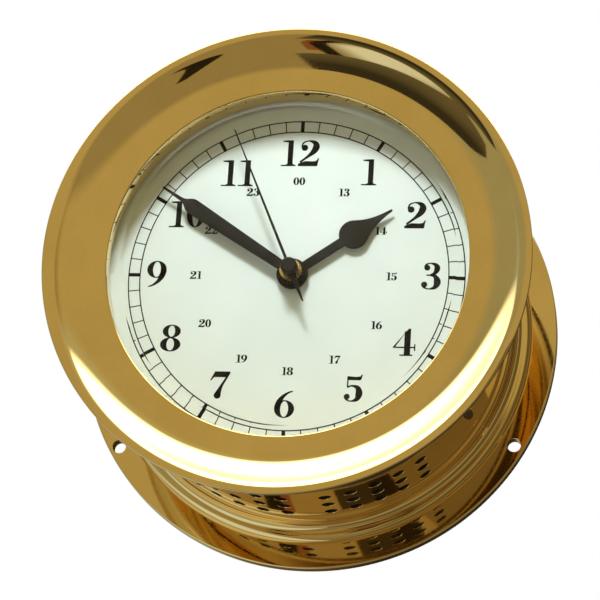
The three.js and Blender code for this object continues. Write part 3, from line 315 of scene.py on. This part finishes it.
COPPER = finish_material(
    "wound_copper", rgb(0.50, 0.18, 0.07), rgb(0.72, 0.30, 0.12),
    rough=(0.25, 0.4), scale=400, grain=5000, bump=0.4,
    settings={"Metallic": 1.0})
BOARD = finish_material(
    "circuit_green", rgb(0.012, 0.07, 0.03), rgb(0.03, 0.13, 0.05),
    rough=(0.3, 0.5), scale=250, grain=3000, bump=0.2)
CELL = finish_material(
    "cell_sleeve", rgb(0.03, 0.035, 0.045), rgb(0.06, 0.065, 0.08),
    rough=(0.25, 0.4), scale=120, grain=2000, bump=0.05)
CONE = finish_material(
    "speaker_paper", rgb(0.02, 0.02, 0.02), rgb(0.06, 0.055, 0.05),
    rough=(0.7, 0.9), scale=500, grain=4000, bump=0.6)

SLOTS = {
    "brass": BRASS,
    "gear_brass": GEAR_BRASS,
    "glass": GLASS,
    "rubber": RUBBER,
    "dial_white": DIAL,
    "black_metal": HAND,
    "black_plastic": BLACK_PLASTIC,
    "white_plastic": WHITE_PLASTIC,
    "steel": STEEL,
    "copper": COPPER,
    "board": BOARD,
    "cell_wrap": CELL,
    "cone_paper": CONE,
}
for node in nodes.values():
    for entry in node.material_slots:
        slot_name = entry.material.name.split(".")[0]
        entry.material = SLOTS[slot_name]


def case_outline():
    """The drum with its wall flange, foot moulding and dial ledge."""
    foot = CASE_R + COVE[0]
    cove_top = FLANGE_T + OVOLO[1] + FILLET_H + COVE[1]
    return [
        (BORE_R, 0),
        (FLANGE_R, 0),
        *arc(FLANGE_R - EDGE_EASE, FLANGE_T - EDGE_EASE, EDGE_EASE, EDGE_EASE, 0, 90, steps=4),
        *arc(foot, FLANGE_T, OVOLO[0], OVOLO[1], 0, 90, steps=12),
        *arc(foot, cove_top, COVE[0], COVE[1], 270, 180, steps=14),
        (CASE_R, CASE_DEPTH - EDGE_EASE),
        (CASE_R - EDGE_EASE, CASE_DEPTH),
        (BORE_R, CASE_DEPTH),
        (BORE_R, DIAL_BACK),
        (BORE_R - LEDGE_W, DIAL_BACK),
        (BORE_R - LEDGE_W, DIAL_BACK - LEDGE_T),
        (BORE_R, DIAL_BACK - LEDGE_T),
    ]


def bore(bm, origin, along, radius, near, far, flare):
    """A round cutter with a small flare where it leaves the face at far; lengths in millimetres."""
    radius, near, far, flare = [length * MM for length in (radius, near, far, flare)]
    along = along.normalized()
    side = along.orthogonal().normalized()
    up = along.cross(side)
    rings = []
    for reach, ring_radius in ((near, radius), (far - flare, radius), (far + flare, radius + 2 * flare)):
        ring = []
        for i in range(HOLE_SIDES):
            angle = 2 * math.pi * i / HOLE_SIDES
            out = side * math.cos(angle) + up * math.sin(angle)
            ring.append(bm.verts.new(origin + along * reach + out * ring_radius))
        rings.append(ring)
    for ring, after in zip(rings, rings[1:]):
        for i in range(HOLE_SIDES):
            j = (i + 1) % HOLE_SIDES
            bm.faces.new((ring[i], ring[j], after[j], after[i]))
    bm.faces.new(list(reversed(rings[0])))
    bm.faces.new(rings[-1])


def hole_cutters():
    """The cutters of the sound holes, wall-screw holes and dial-screw holes, as one object."""
    bm = bmesh.new()
    for side in (-1, 1):
        for column in range(SOUND_COLUMNS):
            angle = math.radians(SOUND_MID_ANGLE + side * (SOUND_HALF_GAP + SOUND_COLUMN_STEP * column))
            along = Vector((math.sin(angle), 0, math.cos(angle)))
            for row in range(SOUND_ROWS):
                origin = place(0, 0, SOUND_FIRST_Z + SOUND_ROW_STEP * row)
                bore(bm, origin, along, SOUND_HOLE_R, SOUND_HOLE_FROM, CASE_R, HOLE_FLARE)

    def circle_of_holes(circle_r, angles, radius, near, far, flare):
        for degrees in angles:
            angle = math.radians(degrees)
            centre = place(circle_r * math.sin(angle), circle_r * math.cos(angle), 0)
            bore(bm, centre, Vector((0, -1, 0)), radius, near, far, flare)

    circle_of_holes(
        MOUNT_CIRCLE_R, MOUNT_HOLE_ANGLES, MOUNT_HOLE_R, MOUNT_HOLE_FROM, FLANGE_T, HOLE_FLARE)
    circle_of_holes(
        DIAL_SCREW_CIRCLE_R, DIAL_SCREW_ANGLES, DIAL_SCREW_HOLE_R, DIAL_SCREW_HOLE_FROM, DIAL_BACK,
        DIAL_SCREW_FLARE)
    bmesh.ops.recalc_face_normals(bm, faces=bm.faces)
    return mesh_object("cutters", bm)


def true_round(mesh):
    """Gives the drum's walls the normals of a true cylinder, and its flat faces those of a plane."""
    normals = [Vector((0, 0, 0))] * len(mesh.loops)
    for face in mesh.polygons:
        if abs(face.normal.y) > FLAT_FACING:
            for loop in face.loop_indices:
                normals[loop] = face.normal.copy()
            continue
        middle = Vector((face.center.x, 0, face.center.z))
        facing = face.normal.dot(middle.normalized())
        wall = abs(middle.length - CASE_R * MM) < WALL_MARGIN * MM and facing > WALL_FACING
        inside = abs(middle.length - BORE_R * MM) < WALL_MARGIN * MM and facing < -WALL_FACING
        if not wall and not inside:
            continue
        for loop in face.loop_indices:
            at = mesh.vertices[mesh.loops[loop].vertex_index].co
            radial = Vector((at.x, 0, at.z)).normalized()
            normals[loop] = radial if wall else -radial
    mesh.normals_split_custom_set(normals)


def build_case():
    """The drum with its holes cut, polished outside; inside dull, and darkened as painted shade."""
    case = add_piece("case_shell", lathe(case_outline()), BRASS, "case_body")
    cutters = hole_cutters()
    cut = case.modifiers.new("holes", "BOOLEAN")
    cut.operation = "DIFFERENCE"
    cut.solver = "EXACT"
    cut.object = cutters
    bpy.context.view_layer.update()
    cut_mesh = bpy.data.meshes.new_from_object(case.evaluated_get(bpy.context.evaluated_depsgraph_get()))
    case.modifiers.clear()
    case.data = cut_mesh
    bpy.data.objects.remove(cutters)
    shade_smooth(cut_mesh, SHARP_ANGLE)
    # Faces inside the drum, between its two ends, take the dull brass with its painted shade
    cut_mesh.materials.append(SHADED_INSIDE)
    for face in cut_mesh.polygons:
        radius = math.hypot(face.center.x, face.center.z)
        between_ends = (END_MARGIN - CASE_DEPTH) * MM < face.center.y < -END_MARGIN * MM
        if radius < (CASE_R - INSIDE_MARGIN) * MM and between_ends:
            face.material_index = 1
    true_round(cut_mesh)
    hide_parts("case")


def bezel_outline():
    """The lip, tilted band, hollow dish, rounded rim and two skirts of the bezel."""
    band = math.radians(BAND_TILT)
    steep = math.radians(DISH_TILT)
    lip_r = OPENING_R + EDGE_EASE
    lip_z = SEAT_Z + LIP_T
    hollow_r = TURN_R - DISH_RADIUS * math.sin(steep)
    band_w = hollow_r + DISH_RADIUS * math.sin(band) - lip_r
    hollow_z = lip_z + band_w * math.tan(band) + DISH_RADIUS * math.cos(band)
    crest_r = RIM_R - RIM_ROUND
    crown = (crest_r - TURN_R) / math.sin(steep)
    crown_z = hollow_z - (DISH_RADIUS + crown) * math.cos(steep)
    rim_front = crown_z + crown
    rim_back = rim_front - 2 * RIM_ROUND
    edge_r = RIM_R - RIM_EASE
    cove_foot = rim_back - RIM_COVE_H
    return [
        (OPENING_R, SEAT_Z),
        (OPENING_R, lip_z - EDGE_EASE),
        *arc(lip_r, lip_z - EDGE_EASE, EDGE_EASE, EDGE_EASE, 180, 90, steps=5),
        *arc(hollow_r, hollow_z, DISH_RADIUS, DISH_RADIUS, BAND_TILT - 90, DISH_TILT - 90, steps=28),
        *arc(crest_r, crown_z, crown, crown, DISH_TILT + 90, 90, steps=16)[1:],
        *arc(edge_r, rim_front - RIM_EASE, RIM_EASE, RIM_EASE, 90, 0, steps=5),
        *arc(edge_r, rim_back + RIM_EASE, RIM_EASE, RIM_EASE, 0, -90, steps=5),
        *arc(crest_r, cove_foot, crest_r - SKIRT_OUT, RIM_COVE_H, 90, 180, steps=16),
        (SKIRT_OUT, SKIRT_BACK),
        (SKIRT_IN, SKIRT_BACK),
        (SKIRT_IN, CASE_DEPTH),
        (INNER_SKIRT_R, CASE_DEPTH),
        (INNER_SKIRT_R, SKIRT_END),
        (SEAT_BORE_R, SKIRT_END),
        (SEAT_BORE_R, SEAT_Z),
    ]


def crystal_outline():
    """The flat glass with its bevelled edge."""
    return [
        (0, CRYSTAL_BACK),
        (CRYSTAL_R, CRYSTAL_BACK),
        (CRYSTAL_R, SEAT_Z),
        (BEVEL_OUT, SEAT_Z),
        (BEVEL_IN + BEVEL_EASE[0], CRYSTAL_FRONT - BEVEL_EASE[1]),
        (BEVEL_IN - BEVEL_EASE[0], CRYSTAL_FRONT),
        (0, CRYSTAL_FRONT),
    ]


def build_bezel():
    """The bezel and its glass, which lets all the light through to the dial."""
    bezel = add_piece("bezel_ring", lathe(bezel_outline()), BRASS, "bezel_body")
    shade_smooth(bezel.data, SHARP_ANGLE)
    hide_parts("bezel")
    glass = add_piece("crystal_lens", lathe(crystal_outline()), GLASS, "bezel_body")
    shade_smooth(glass.data, GLASS_SHARP_ANGLE)
    glass.visible_shadow = False
    glass.visible_diffuse = False
    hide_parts("crystal")


class Print:
    """Flat ink on the dial: each shape is drawn at a place in millimetres, with its points times a size."""

    def __init__(self):
        self.bm = bmesh.new()

    def shape(self, points, at, size):
        corners = [place(at[0] + x * size, at[1] + y * size, DIAL_Z + INK_LIFT) for x, y in points]
        face = self.bm.faces.new([self.bm.verts.new(corner) for corner in corners])
        face.normal_update()
        if face.normal.y > 0:
            face.normal_flip()

    def ribbon(self, left, right, at, size):
        for i in range(len(left) - 1):
            self.shape([left[i], left[i + 1], right[i + 1], right[i]], at, size)

    def pen(self, path, at, size):
        """A stroke along a smooth cubic curve through (x, y, width) points."""
        smooth = []
        last = len(path) - 1
        for i in range(last):
            p0, p1, p2, p3 = path[max(i - 1, 0)], path[i], path[i + 1], path[min(i + 2, last)]
            for k in range(PEN_STEPS):
                t = k / PEN_STEPS
                smooth.append([
                    0.5 * (2 * b + (c - a) * t + (2 * a - 5 * b + 4 * c - d) * t * t
                           + (3 * b - a - 3 * c + d) * t ** 3)
                    for a, b, c, d in zip(p0, p1, p2, p3)])
        smooth.append(list(path[-1]))
        left, right = [], []
        for i, (x, y, width) in enumerate(smooth):
            before, after = smooth[max(i - 1, 0)], smooth[min(i + 1, len(smooth) - 1)]
            way = Vector((after[0] - before[0], after[1] - before[1])).normalized()
            left.append((x - way.y * width / 2, y + way.x * width / 2))
            right.append((x + way.y * width / 2, y - way.x * width / 2))
        self.ribbon(left, right, at, size)

    def bowl(self, x, y, wide, high, side, cap, at, size):
        """An upright oval with heavy sides and thin top and bottom."""
        outer, inner = [], []
        for i in range(BOWL_STEPS + 1):
            angle = 2 * math.pi * i / BOWL_STEPS
            outer.append((x + wide * math.cos(angle), y + high * math.sin(angle)))
            inner.append((x + (wide - side) * math.cos(angle), y + (high - cap) * math.sin(angle)))
        self.ribbon(outer, inner, at, size)

    def ball(self, x, y, radius, at, size):
        turns = [2 * math.pi * i / BALL_STEPS for i in range(BALL_STEPS)]
        self.shape([(x + radius * math.cos(a), y + radius * math.sin(a)) for a in turns], at, size)

    def bar(self, x0, y0, x1, y1, at, size):
        self.shape([(x0, y0), (x1, y0), (x1, y1), (x0, y1)], at, size)


# Upright figures with heavy stems, hairlines and ball ends, drawn one unit high from their lower left corner.
# Each row names a way to draw, and gives its points or sizes. The nine is the six turned round.
FIGURES = {
    "0": [
        (Print.bowl, 0.33, 0.5, 0.33, 0.5, 0.21, 0.04),
    ],
    "1": [
        (Print.bar, 0.235, 0.0, 0.425, 1.0),
        (Print.bar, 0.0, 0.0, 0.54, 0.05),
        (Print.shape, [(0.04, 0.935), (0.235, 0.915), (0.235, 1.0), (0.04, 0.985)]),
        (Print.shape, [(0.235, 0.05), (0.235, 0.09), (0.16, 0.05)]),
        (Print.shape, [(0.425, 0.05), (0.50, 0.05), (0.425, 0.09)]),
    ],
    "2": [
        (Print.ball, 0.215, 0.71, 0.12),
        (Print.pen, [(0.105, 0.75, 0.05), (0.17, 0.905, 0.06), (0.36, 0.975, 0.05), (0.575, 0.90, 0.17),
                     (0.63, 0.745, 0.25), (0.54, 0.56, 0.20), (0.33, 0.36, 0.10), (0.07, 0.15, 0.08)]),
        (Print.shape, [(0.0, 0.0), (0.70, 0.0), (0.755, 0.31), (0.715, 0.31), (0.66, 0.21), (0.55, 0.185),
                       (0.25, 0.195), (0.0, 0.09)]),
    ],
    "3": [
        (Print.ball, 0.20, 0.81, 0.105),
        (Print.pen, [(0.105, 0.83, 0.05), (0.17, 0.935, 0.06), (0.335, 0.975, 0.05), (0.50, 0.91, 0.15),
                     (0.55, 0.78, 0.21), (0.47, 0.61, 0.13), (0.30, 0.535, 0.05)]),
        (Print.bar, 0.18, 0.51, 0.34, 0.56),
        (Print.pen, [(0.30, 0.535, 0.05), (0.48, 0.49, 0.14), (0.57, 0.29, 0.25), (0.50, 0.10, 0.16),
                     (0.30, 0.025, 0.05), (0.12, 0.07, 0.06), (0.03, 0.17, 0.05)]),
        (Print.ball, 0.115, 0.185, 0.11),
    ],
    "4": [
        (Print.bar, 0.39, 0.0, 0.61, 0.9),
        (Print.shape, [(0.0, 0.285), (0.085, 0.33), (0.39, 0.80), (0.61, 0.88), (0.61, 1.0), (0.53, 1.0),
                       (0.0, 0.325)]),
        (Print.bar, 0.0, 0.285, 0.78, 0.335),
        (Print.bar, 0.24, 0.0, 0.69, 0.05),
        (Print.bar, 0.74, 0.18, 0.785, 0.44),
    ],
    "5": [
        (Print.bar, 0.095, 0.51, 0.145, 0.93),
        (Print.shape, [(0.095, 0.785), (0.56, 0.785), (0.60, 0.84), (0.635, 1.0), (0.60, 1.0), (0.55, 0.925),
                       (0.40, 0.905), (0.095, 0.93)]),
        (Print.pen, [(0.11, 0.515, 0.05), (0.20, 0.565, 0.06), (0.32, 0.575, 0.08), (0.48, 0.50, 0.17),
                     (0.53, 0.30, 0.24), (0.46, 0.10, 0.16), (0.27, 0.025, 0.05), (0.11, 0.07, 0.06),
                     (0.03, 0.17, 0.05)]),
        (Print.ball, 0.11, 0.185, 0.105),
    ],
    "6": [
        (Print.pen, [(0.62, 0.975, 0.045), (0.46, 0.915, 0.07), (0.28, 0.77, 0.13), (0.155, 0.58, 0.19),
                     (0.105, 0.40, 0.21), (0.105, 0.32, 0.21)]),
        (Print.bowl, 0.35, 0.323, 0.35, 0.323, 0.21, 0.04),
    ],
    "7": [
        (Print.shape, [(0.16, 1.0), (0.0, 0.67), (0.04, 0.66), (0.14, 0.79), (0.57, 0.79), (0.70, 0.93),
                       (0.70, 1.0)]),
        (Print.pen, [(0.67, 0.95, 0.07), (0.54, 0.70, 0.08), (0.42, 0.48, 0.10), (0.34, 0.28, 0.17),
                     (0.29, 0.125, 0.25)]),
        (Print.ball, 0.29, 0.125, 0.125),
    ],
    "8": [
        (Print.bowl, 0.385, 0.755, 0.325, 0.245, 0.205, 0.04),
        (Print.bowl, 0.365, 0.265, 0.365, 0.265, 0.23, 0.04),
    ],
}
FIGURE_WIDTH = {
    "0": 0.66, "1": 0.54, "2": 0.76, "3": 0.70, "4": 0.79,
    "5": 0.65, "6": 0.70, "7": 0.70, "8": 0.73, "9": 0.70,
}
FIGURE_GAP = 0.08

# Middles of the numbers on the dial, in millimetres from its centre
HOUR_CENTRES = {
    "12": (-0.2, 39.8), "1": (21.2, 33.6), "2": (35.9, 19.8), "3": (41.5, 0.4),
    "4": (34.5, -20.4), "5": (20.1, -34.8), "6": (-0.1, -40.1), "7": (-19.9, -34.5),
    "8": (-35.8, -20.0), "9": (-41.7, 0.3), "10": (-33.7, 19.7), "11": (-19.2, 33.2),
}
NIGHT_CENTRES = {
    "00": (0.0, 30.6), "13": (13.9, 27.0), "14": (25.7, 14.7), "15": (29.6, 0.2),
    "16": (25.9, -15.2), "17": (14.0, -26.1), "18": (0.1, -29.9), "19": (-13.9, -26.2),
    "20": (-25.8, -15.2), "21": (-29.7, 0.1), "22": (-25.9, 14.6), "23": (-14.0, 27.0),
}


def draw_figure(ink, figure, at, size):
    if figure == "9":
        draw_figure(ink, "6", (at[0] + FIGURE_WIDTH["9"] * size, at[1] + size), -size)
        return
    for draw, *sizes in FIGURES[figure]:
        draw(ink, *sizes, at, size)


def draw_number(ink, text, centre, size):
    widths = [FIGURE_WIDTH[figure] * size for figure in text]
    gap = FIGURE_GAP * size
    x = centre[0] - (sum(widths) + gap * (len(text) - 1)) / 2
    for figure, width in zip(text, widths):
        draw_figure(ink, figure, (x, centre[1] - size / 2), size)
        x += width + gap


def draw_track(ink):
    """The two circles of the minute track, and a mark for each minute."""
    for radius in (TRACK_IN, TRACK_OUT):
        turns = [2 * math.pi * i / LATHE_SIDES for i in range(LATHE_SIDES + 1)]
        rims = [
            [(rim * math.sin(turn), rim * math.cos(turn)) for turn in turns]
            for rim in (radius - TRACK_LINE_HALF, radius + TRACK_LINE_HALF)]
        ink.ribbon(rims[0], rims[1], (0, 0), 1)
    for minute in range(MINUTES):
        angle = math.radians(360 / MINUTES * minute)
        out = Vector((math.sin(angle), math.cos(angle)))
        side = Vector((out.y, -out.x)) * (MARK_HALF if minute % MINUTES_TO_MARK == 0 else TICK_HALF)
        inner = out * TRACK_IN
        outer = out * TRACK_OUT
        corners = [inner - side, inner + side, outer + side, outer - side]
        ink.shape([tuple(corner) for corner in corners], (0, 0), 1)


def build_print():
    """The hours, the small night hours and the minute track, as thin pieces on the dial."""
    hours = Print()
    for text, centre in HOUR_CENTRES.items():
        draw_number(hours, text, centre, HOUR_HEIGHT)
    night = Print()
    for text, centre in NIGHT_CENTRES.items():
        for shift in (-NIGHT_SHIFT, NIGHT_SHIFT):
            draw_number(night, text, (centre[0] + shift, centre[1]), NIGHT_HEIGHT)
    track = Print()
    draw_track(track)
    for name, ink in (("dial_hours", hours), ("dial_night_hours", night), ("dial_minute_track", track)):
        add_piece(name, ink.bm, INK, "case_body")


# Tones of the plain room around the clock, which the polish mirrors
WARM_LOW = rgb(0.32, 0.27, 0.152)
WARM_MIDDLE = rgb(0.485, 0.409, 0.209)
WARM_HIGH = rgb(0.504, 0.512, 0.365)
GROUND = rgb(0.252, 0.223, 0.152)
LEFT_GREY = rgb(0.359, 0.358, 0.258)
LEFT_COOL = rgb(0.485, 0.56, 0.61)
LEFT_PALE = rgb(0.72, 0.82, 0.92)
RIGHT_BROWN = rgb(0.145, 0.107, 0.0418)
ASIDE_LEFT = rgb(0.45, 0.50, 0.50)
ASIDE_RIGHT = rgb(0.31, 0.31, 0.28)
ASIDE_HIGH = rgb(0.75, 0.74, 0.70)
BEHIND_LOW = rgb(0.12, 0.09, 0.05)
BEHIND_HIGH = rgb(0.34, 0.34, 0.28)
BEHIND_RIGHT = rgb(0.035, 0.026, 0.012)

# The overhead light: its tones, its lower edge and the edge's softness in degrees, how far the edge rises
# with each degree of turn on either side of the middle, and the share of it that lights matt surfaces
GLOW_LEFT = rgb(1.3, 1.5, 1.75)
GLOW = rgb(4.1, 4.1, 4.1)
GLOW_TOP = rgb(1.9, 1.95, 2.0)
GLOW_EDGE = 44.0
GLOW_SOFT = 3.5
EDGE_RISE_LEFT = 0.25
EDGE_RISE_RIGHT = 0.03
GLOW_ON_MATT = 0.2


def build_world():
    """White for the camera; a plain room with a soft overhead light for the rest."""
    world = bpy.data.worlds.new("studio")
    scene.world = world
    world.use_nodes = True
    tree = Nodes(world.node_tree)
    path = tree.add("ShaderNodeLightPath").outputs
    way = tree.add("ShaderNodeTexCoord").outputs["Generated"]
    across, depth, up = tree.add("ShaderNodeSeparateXYZ", {0: way}).outputs
    ahead = tree.math("MULTIPLY", depth, -1.0)
    degrees = 180 / math.pi
    rise = tree.math("MULTIPLY", tree.math("ARCSINE", up), degrees)
    turn = tree.math("MULTIPLY", tree.math("ARCTAN2", across, ahead), degrees)

    def above(value, low, high):
        return tree.step(value, low, high)

    def below(value, low, high):
        return tree.step(value, low, high, 1.0, 0.0)

    def both_of(first, second):
        return tree.math("MULTIPLY", first, second)

    # A warm room in front and on the right, a cool bright one on the left. Each zone fades in between two
    # values: degrees of rise above the horizon, degrees of turn to the right, or parts ahead or across.
    room = tree.mix(above(rise, 0.0, 10.0), WARM_LOW, WARM_MIDDLE)
    room = tree.mix(above(rise, 32.0, 42.0), room, WARM_HIGH)
    room = tree.mix(below(rise, -56.0, -40.0), room, GROUND)
    room = tree.mix(below(turn, -36.0, -14.0), room, LEFT_GREY)
    cool = both_of(below(turn, -76.0, -62.0), above(rise, -34.0, -22.0))
    room = tree.mix(cool, room, LEFT_COOL)
    pale = both_of(below(turn, -28.0, -19.0), above(turn, -82.0, -72.0))
    room = tree.mix(both_of(pale, below(rise, -24.0, -15.0)), room, LEFT_PALE)
    brown = both_of(above(turn, 42.0, 60.0), below(rise, 26.0, 46.0))
    room = tree.mix(brown, room, RIGHT_BROWN)
    aside = tree.mix(above(across, -0.35, 0.10), ASIDE_LEFT, ASIDE_RIGHT)
    aside = tree.mix(above(rise, 22.0, 50.0), aside, ASIDE_HIGH)
    room = tree.mix(below(ahead, -0.30, 0.0), room, aside)
    behind = tree.mix(above(rise, -14.0, -6.0), BEHIND_LOW, BEHIND_HIGH)
    behind = tree.mix(above(across, -0.25, 0.10), behind, BEHIND_RIGHT)
    room = tree.mix(below(ahead, -0.90, -0.82), room, behind)

    # The soft overhead light, lower and dimmer towards the left
    left = tree.math("MULTIPLY", tree.math("MINIMUM", turn, 0.0), EDGE_RISE_LEFT)
    right = tree.math("MULTIPLY", tree.math("MAXIMUM", turn, 0.0), EDGE_RISE_RIGHT)
    edge = tree.math("ADD", tree.math("ADD", left, right), GLOW_EDGE)
    lit = above(tree.math("SUBTRACT", rise, edge), -GLOW_SOFT, GLOW_SOFT)
    lit = both_of(lit, above(ahead, 0.02, 0.18))
    lit = both_of(lit, tree.step(path["Is Glossy Ray"], 0.0, 1.0, GLOW_ON_MATT, 1.0))
    glow = tree.mix(above(turn, -78.0, -42.0), GLOW_LEFT, GLOW)
    glow = tree.mix(above(rise, 62.0, 78.0), glow, GLOW_TOP)
    room = tree.mix(lit, room, glow)

    light = tree.add("ShaderNodeBackground", {"Color": room, "Strength": 1.0}).outputs[0]
    white = tree.add("ShaderNodeBackground", {"Color": rgb(1, 1, 1), "Strength": 1.0}).outputs[0]
    shown = tree.add("ShaderNodeMixShader", {0: path["Is Camera Ray"], 1: light, 2: white}).outputs[0]
    tree.add("ShaderNodeOutputWorld", {"Surface": shown})


# The floor in metres, its height measured from the clock's axis; its tones, and the share that stays pale
FLOOR_HALF = 4.0
FLOOR_CELLS = 8
FLOOR_Z = -0.45
FLOOR_MOTTLE = 3.0
FLOOR_DARK = rgb(0.88, 0.88, 0.87)
FLOOR_LIGHT = rgb(0.92, 0.92, 0.91)
FLOOR_PALE = 0.85


def floor_material():
    """A matt floor that stays pale in the picture."""
    material, tree = new_material("studio_floor")
    where = tree.add("ShaderNodeTexCoord").outputs["Object"]
    colour = tree.mix(tree.noise(where, FLOOR_MOTTLE), FLOOR_DARK, FLOOR_LIGHT)
    matt = tree.add("ShaderNodeBsdfDiffuse", {"Color": colour}).outputs[0]
    pale = tree.add("ShaderNodeEmission", {"Color": colour, "Strength": 1.0}).outputs[0]
    seen = tree.add("ShaderNodeLightPath").outputs["Is Camera Ray"]
    share = tree.math("MULTIPLY", seen, FLOOR_PALE)
    shown = tree.add("ShaderNodeMixShader", {0: share, 1: matt, 2: pale}).outputs[0]
    tree.add("ShaderNodeOutputMaterial", {"Surface": shown})
    return material


def build_floor():
    """A wide floor below the clock, which hangs on a wall that isn't shown."""
    bm = bmesh.new()
    bmesh.ops.create_grid(bm, x_segments=FLOOR_CELLS, y_segments=FLOOR_CELLS, size=FLOOR_HALF)
    floor = mesh_object("studio_floor", bm, floor_material())
    floor.location = (0, 0, FLOOR_Z)
    floor.visible_glossy = False
    floor.visible_diffuse = False


# The lamp, aimed at the middle of the flange's back: metres and watts
LAMP_AT = (-0.017, -0.264, 0.185)
LAMP_SIZE = 0.058
LAMP_POWER = 0.67
LAMP_COLOUR = (0.93, 1.0, 1.0)


def build_lamp():
    """A soft lamp in front of the dial and above it, which stays out of the reflections."""
    data = bpy.data.lights.new("soft_lamp", "AREA")
    data.size = LAMP_SIZE
    data.energy = LAMP_POWER
    data.color = LAMP_COLOUR
    lamp = bpy.data.objects.new("soft_lamp", data)
    lamp.location = LAMP_AT
    lamp.rotation_euler = (-lamp.location).to_track_quat("-Z", "Y").to_euler()
    lamp.visible_glossy = False
    lamp.visible_camera = False
    scene.collection.objects.link(lamp)


# Dark studio cards in front of the clock, in metres; each glows with its own tone, a painted reflection that
# only the polish sees. The sloping one joins a near edge to a far edge.
SLOPE_NEAR = [
    (-0.0345, -0.2905, -0.0168),
    (-0.0808, -0.2540, -0.0189),
    (-0.1108, -0.2288, -0.0173),
    (-0.1300, -0.2040, -0.0160),
]
SLOPE_FAR = [
    (-0.2280, -1.3900, 0.2070),
    (-0.4380, -0.8490, 0.1200),
    (-0.3560, -0.4740, 0.0520),
    (-0.2360, -0.2880, 0.0140),
]
SLOPE_TONES = (rgb(0.038, 0.034, 0.022), rgb(0.13, 0.115, 0.075))

# Upright cards: name, dark tone, light tone, depth, and corners as (x, z)
UPRIGHT_CARDS = [
    ("flag_stand", rgb(0.012, 0.010, 0.006), rgb(0.05, 0.04, 0.025), -0.452,
     [(-0.13, -0.25), (-0.095, -0.25), (-0.095, -0.08), (-0.115, -0.08)]),
    ("flag_red_brown", rgb(0.20, 0.08, 0.035), rgb(0.36, 0.17, 0.09), -0.453,
     [(-0.098, -0.25), (-0.08, -0.25), (-0.078, -0.13), (-0.094, -0.13)]),
    ("flag_lens", rgb(0.015, 0.011, 0.007), rgb(0.06, 0.045, 0.03), -0.45,
     [(0.058, -0.215), (0.135, -0.215), (0.078, -0.075), (0.062, -0.075)]),
    ("flag_low", rgb(0.015, 0.012, 0.008), rgb(0.045, 0.035, 0.025), -0.25,
     [(0.008, -0.18), (0.050, -0.18), (0.050, -0.09), (0.008, -0.09)]),
    ("flag_right", rgb(0.15, 0.12, 0.065), rgb(0.185, 0.15, 0.082), -0.15,
     [(0.060, -0.28), (0.125, -0.28), (0.125, -0.005), (0.060, -0.005)]),
]

# The cards' painted tone fades from dark to light between two depths, which a soft noise shifts
CARD_FADE = (-0.46, -0.16)
CARD_MOTTLE = 7.0
CARD_MOTTLE_SHARE = 0.12


def reflection_card_material(name, dark, light):
    """A glowing mottled tone, a painted reflection, on the side that faces the clock, and nothing on the
    other.
    """
    material, tree = new_material(name)
    where = tree.add("ShaderNodeTexCoord").outputs["Object"]
    depth = tree.add("ShaderNodeSeparateXYZ", {0: where}).outputs[1]
    mottle = tree.math("MULTIPLY", tree.noise(where, CARD_MOTTLE), CARD_MOTTLE_SHARE)
    tone = tree.mix(tree.step(tree.math("ADD", depth, mottle), *CARD_FADE), dark, light)
    shade = tree.add("ShaderNodeEmission", {"Color": tone, "Strength": 1.0}).outputs[0]
    clear = tree.add("ShaderNodeBsdfTransparent").outputs[0]
    back = tree.add("ShaderNodeNewGeometry").outputs["Backfacing"]
    one_sided = tree.add("ShaderNodeMixShader", {0: back, 1: clear, 2: shade}).outputs[0]
    tree.add("ShaderNodeOutputMaterial", {"Surface": one_sided})
    return material


def card(name, dark, light, quads):
    """A one-sided studio card that only shows in the polish, as a painted reflection."""
    bm = bmesh.new()
    for quad in quads:
        bm.faces.new([bm.verts.new(corner) for corner in quad])
    obj = mesh_object(name, bm, reflection_card_material(name, dark, light))
    obj.visible_camera = False
    obj.visible_diffuse = False
    obj.visible_transmission = False
    obj.visible_shadow = False


def build_cards():
    """The dark glowing cards that the polished brass mirrors: painted reflections."""
    slope = [
        (SLOPE_NEAR[i], SLOPE_FAR[i], SLOPE_FAR[i + 1], SLOPE_NEAR[i + 1])
        for i in range(len(SLOPE_NEAR) - 1)]
    card("flag_slope", *SLOPE_TONES, slope)
    for name, dark, light, depth, corners in UPRIGHT_CARDS:
        card(name, dark, light, [[(x, depth, z) for x, z in corners]])


# The camera, in metres of the shared frame; lens and sensor in millimetres
CAMERA_AT = (0.12766458, -0.81735941, -0.27511679)
CAMERA_RIGHT = Vector((0.98802905, 0.14177164, 0.06082275))
CAMERA_UP = Vector((-0.0099854, -0.33466772, 0.9422833))
CAMERA_LENS = 163.535
CAMERA_SENSOR = 36
CAMERA_CLIP = 0.01


def build_camera():
    """The camera at the photograph's viewing angle."""
    camera = bpy.data.objects.new("camera", bpy.data.cameras.new("camera"))
    scene.collection.objects.link(camera)
    back = CAMERA_RIGHT.cross(CAMERA_UP)
    turn = Matrix((CAMERA_RIGHT, CAMERA_UP, back)).transposed().to_4x4()
    camera.matrix_world = Matrix.Translation(CAMERA_AT) @ turn
    camera.data.sensor_width = CAMERA_SENSOR
    camera.data.lens = CAMERA_LENS
    camera.data.clip_start = CAMERA_CLIP
    scene.camera = camera


build_camera()
build_case()
build_bezel()
build_print()
build_world()
build_floor()
build_lamp()
build_cards()
scene.view_settings.view_transform = "Standard"
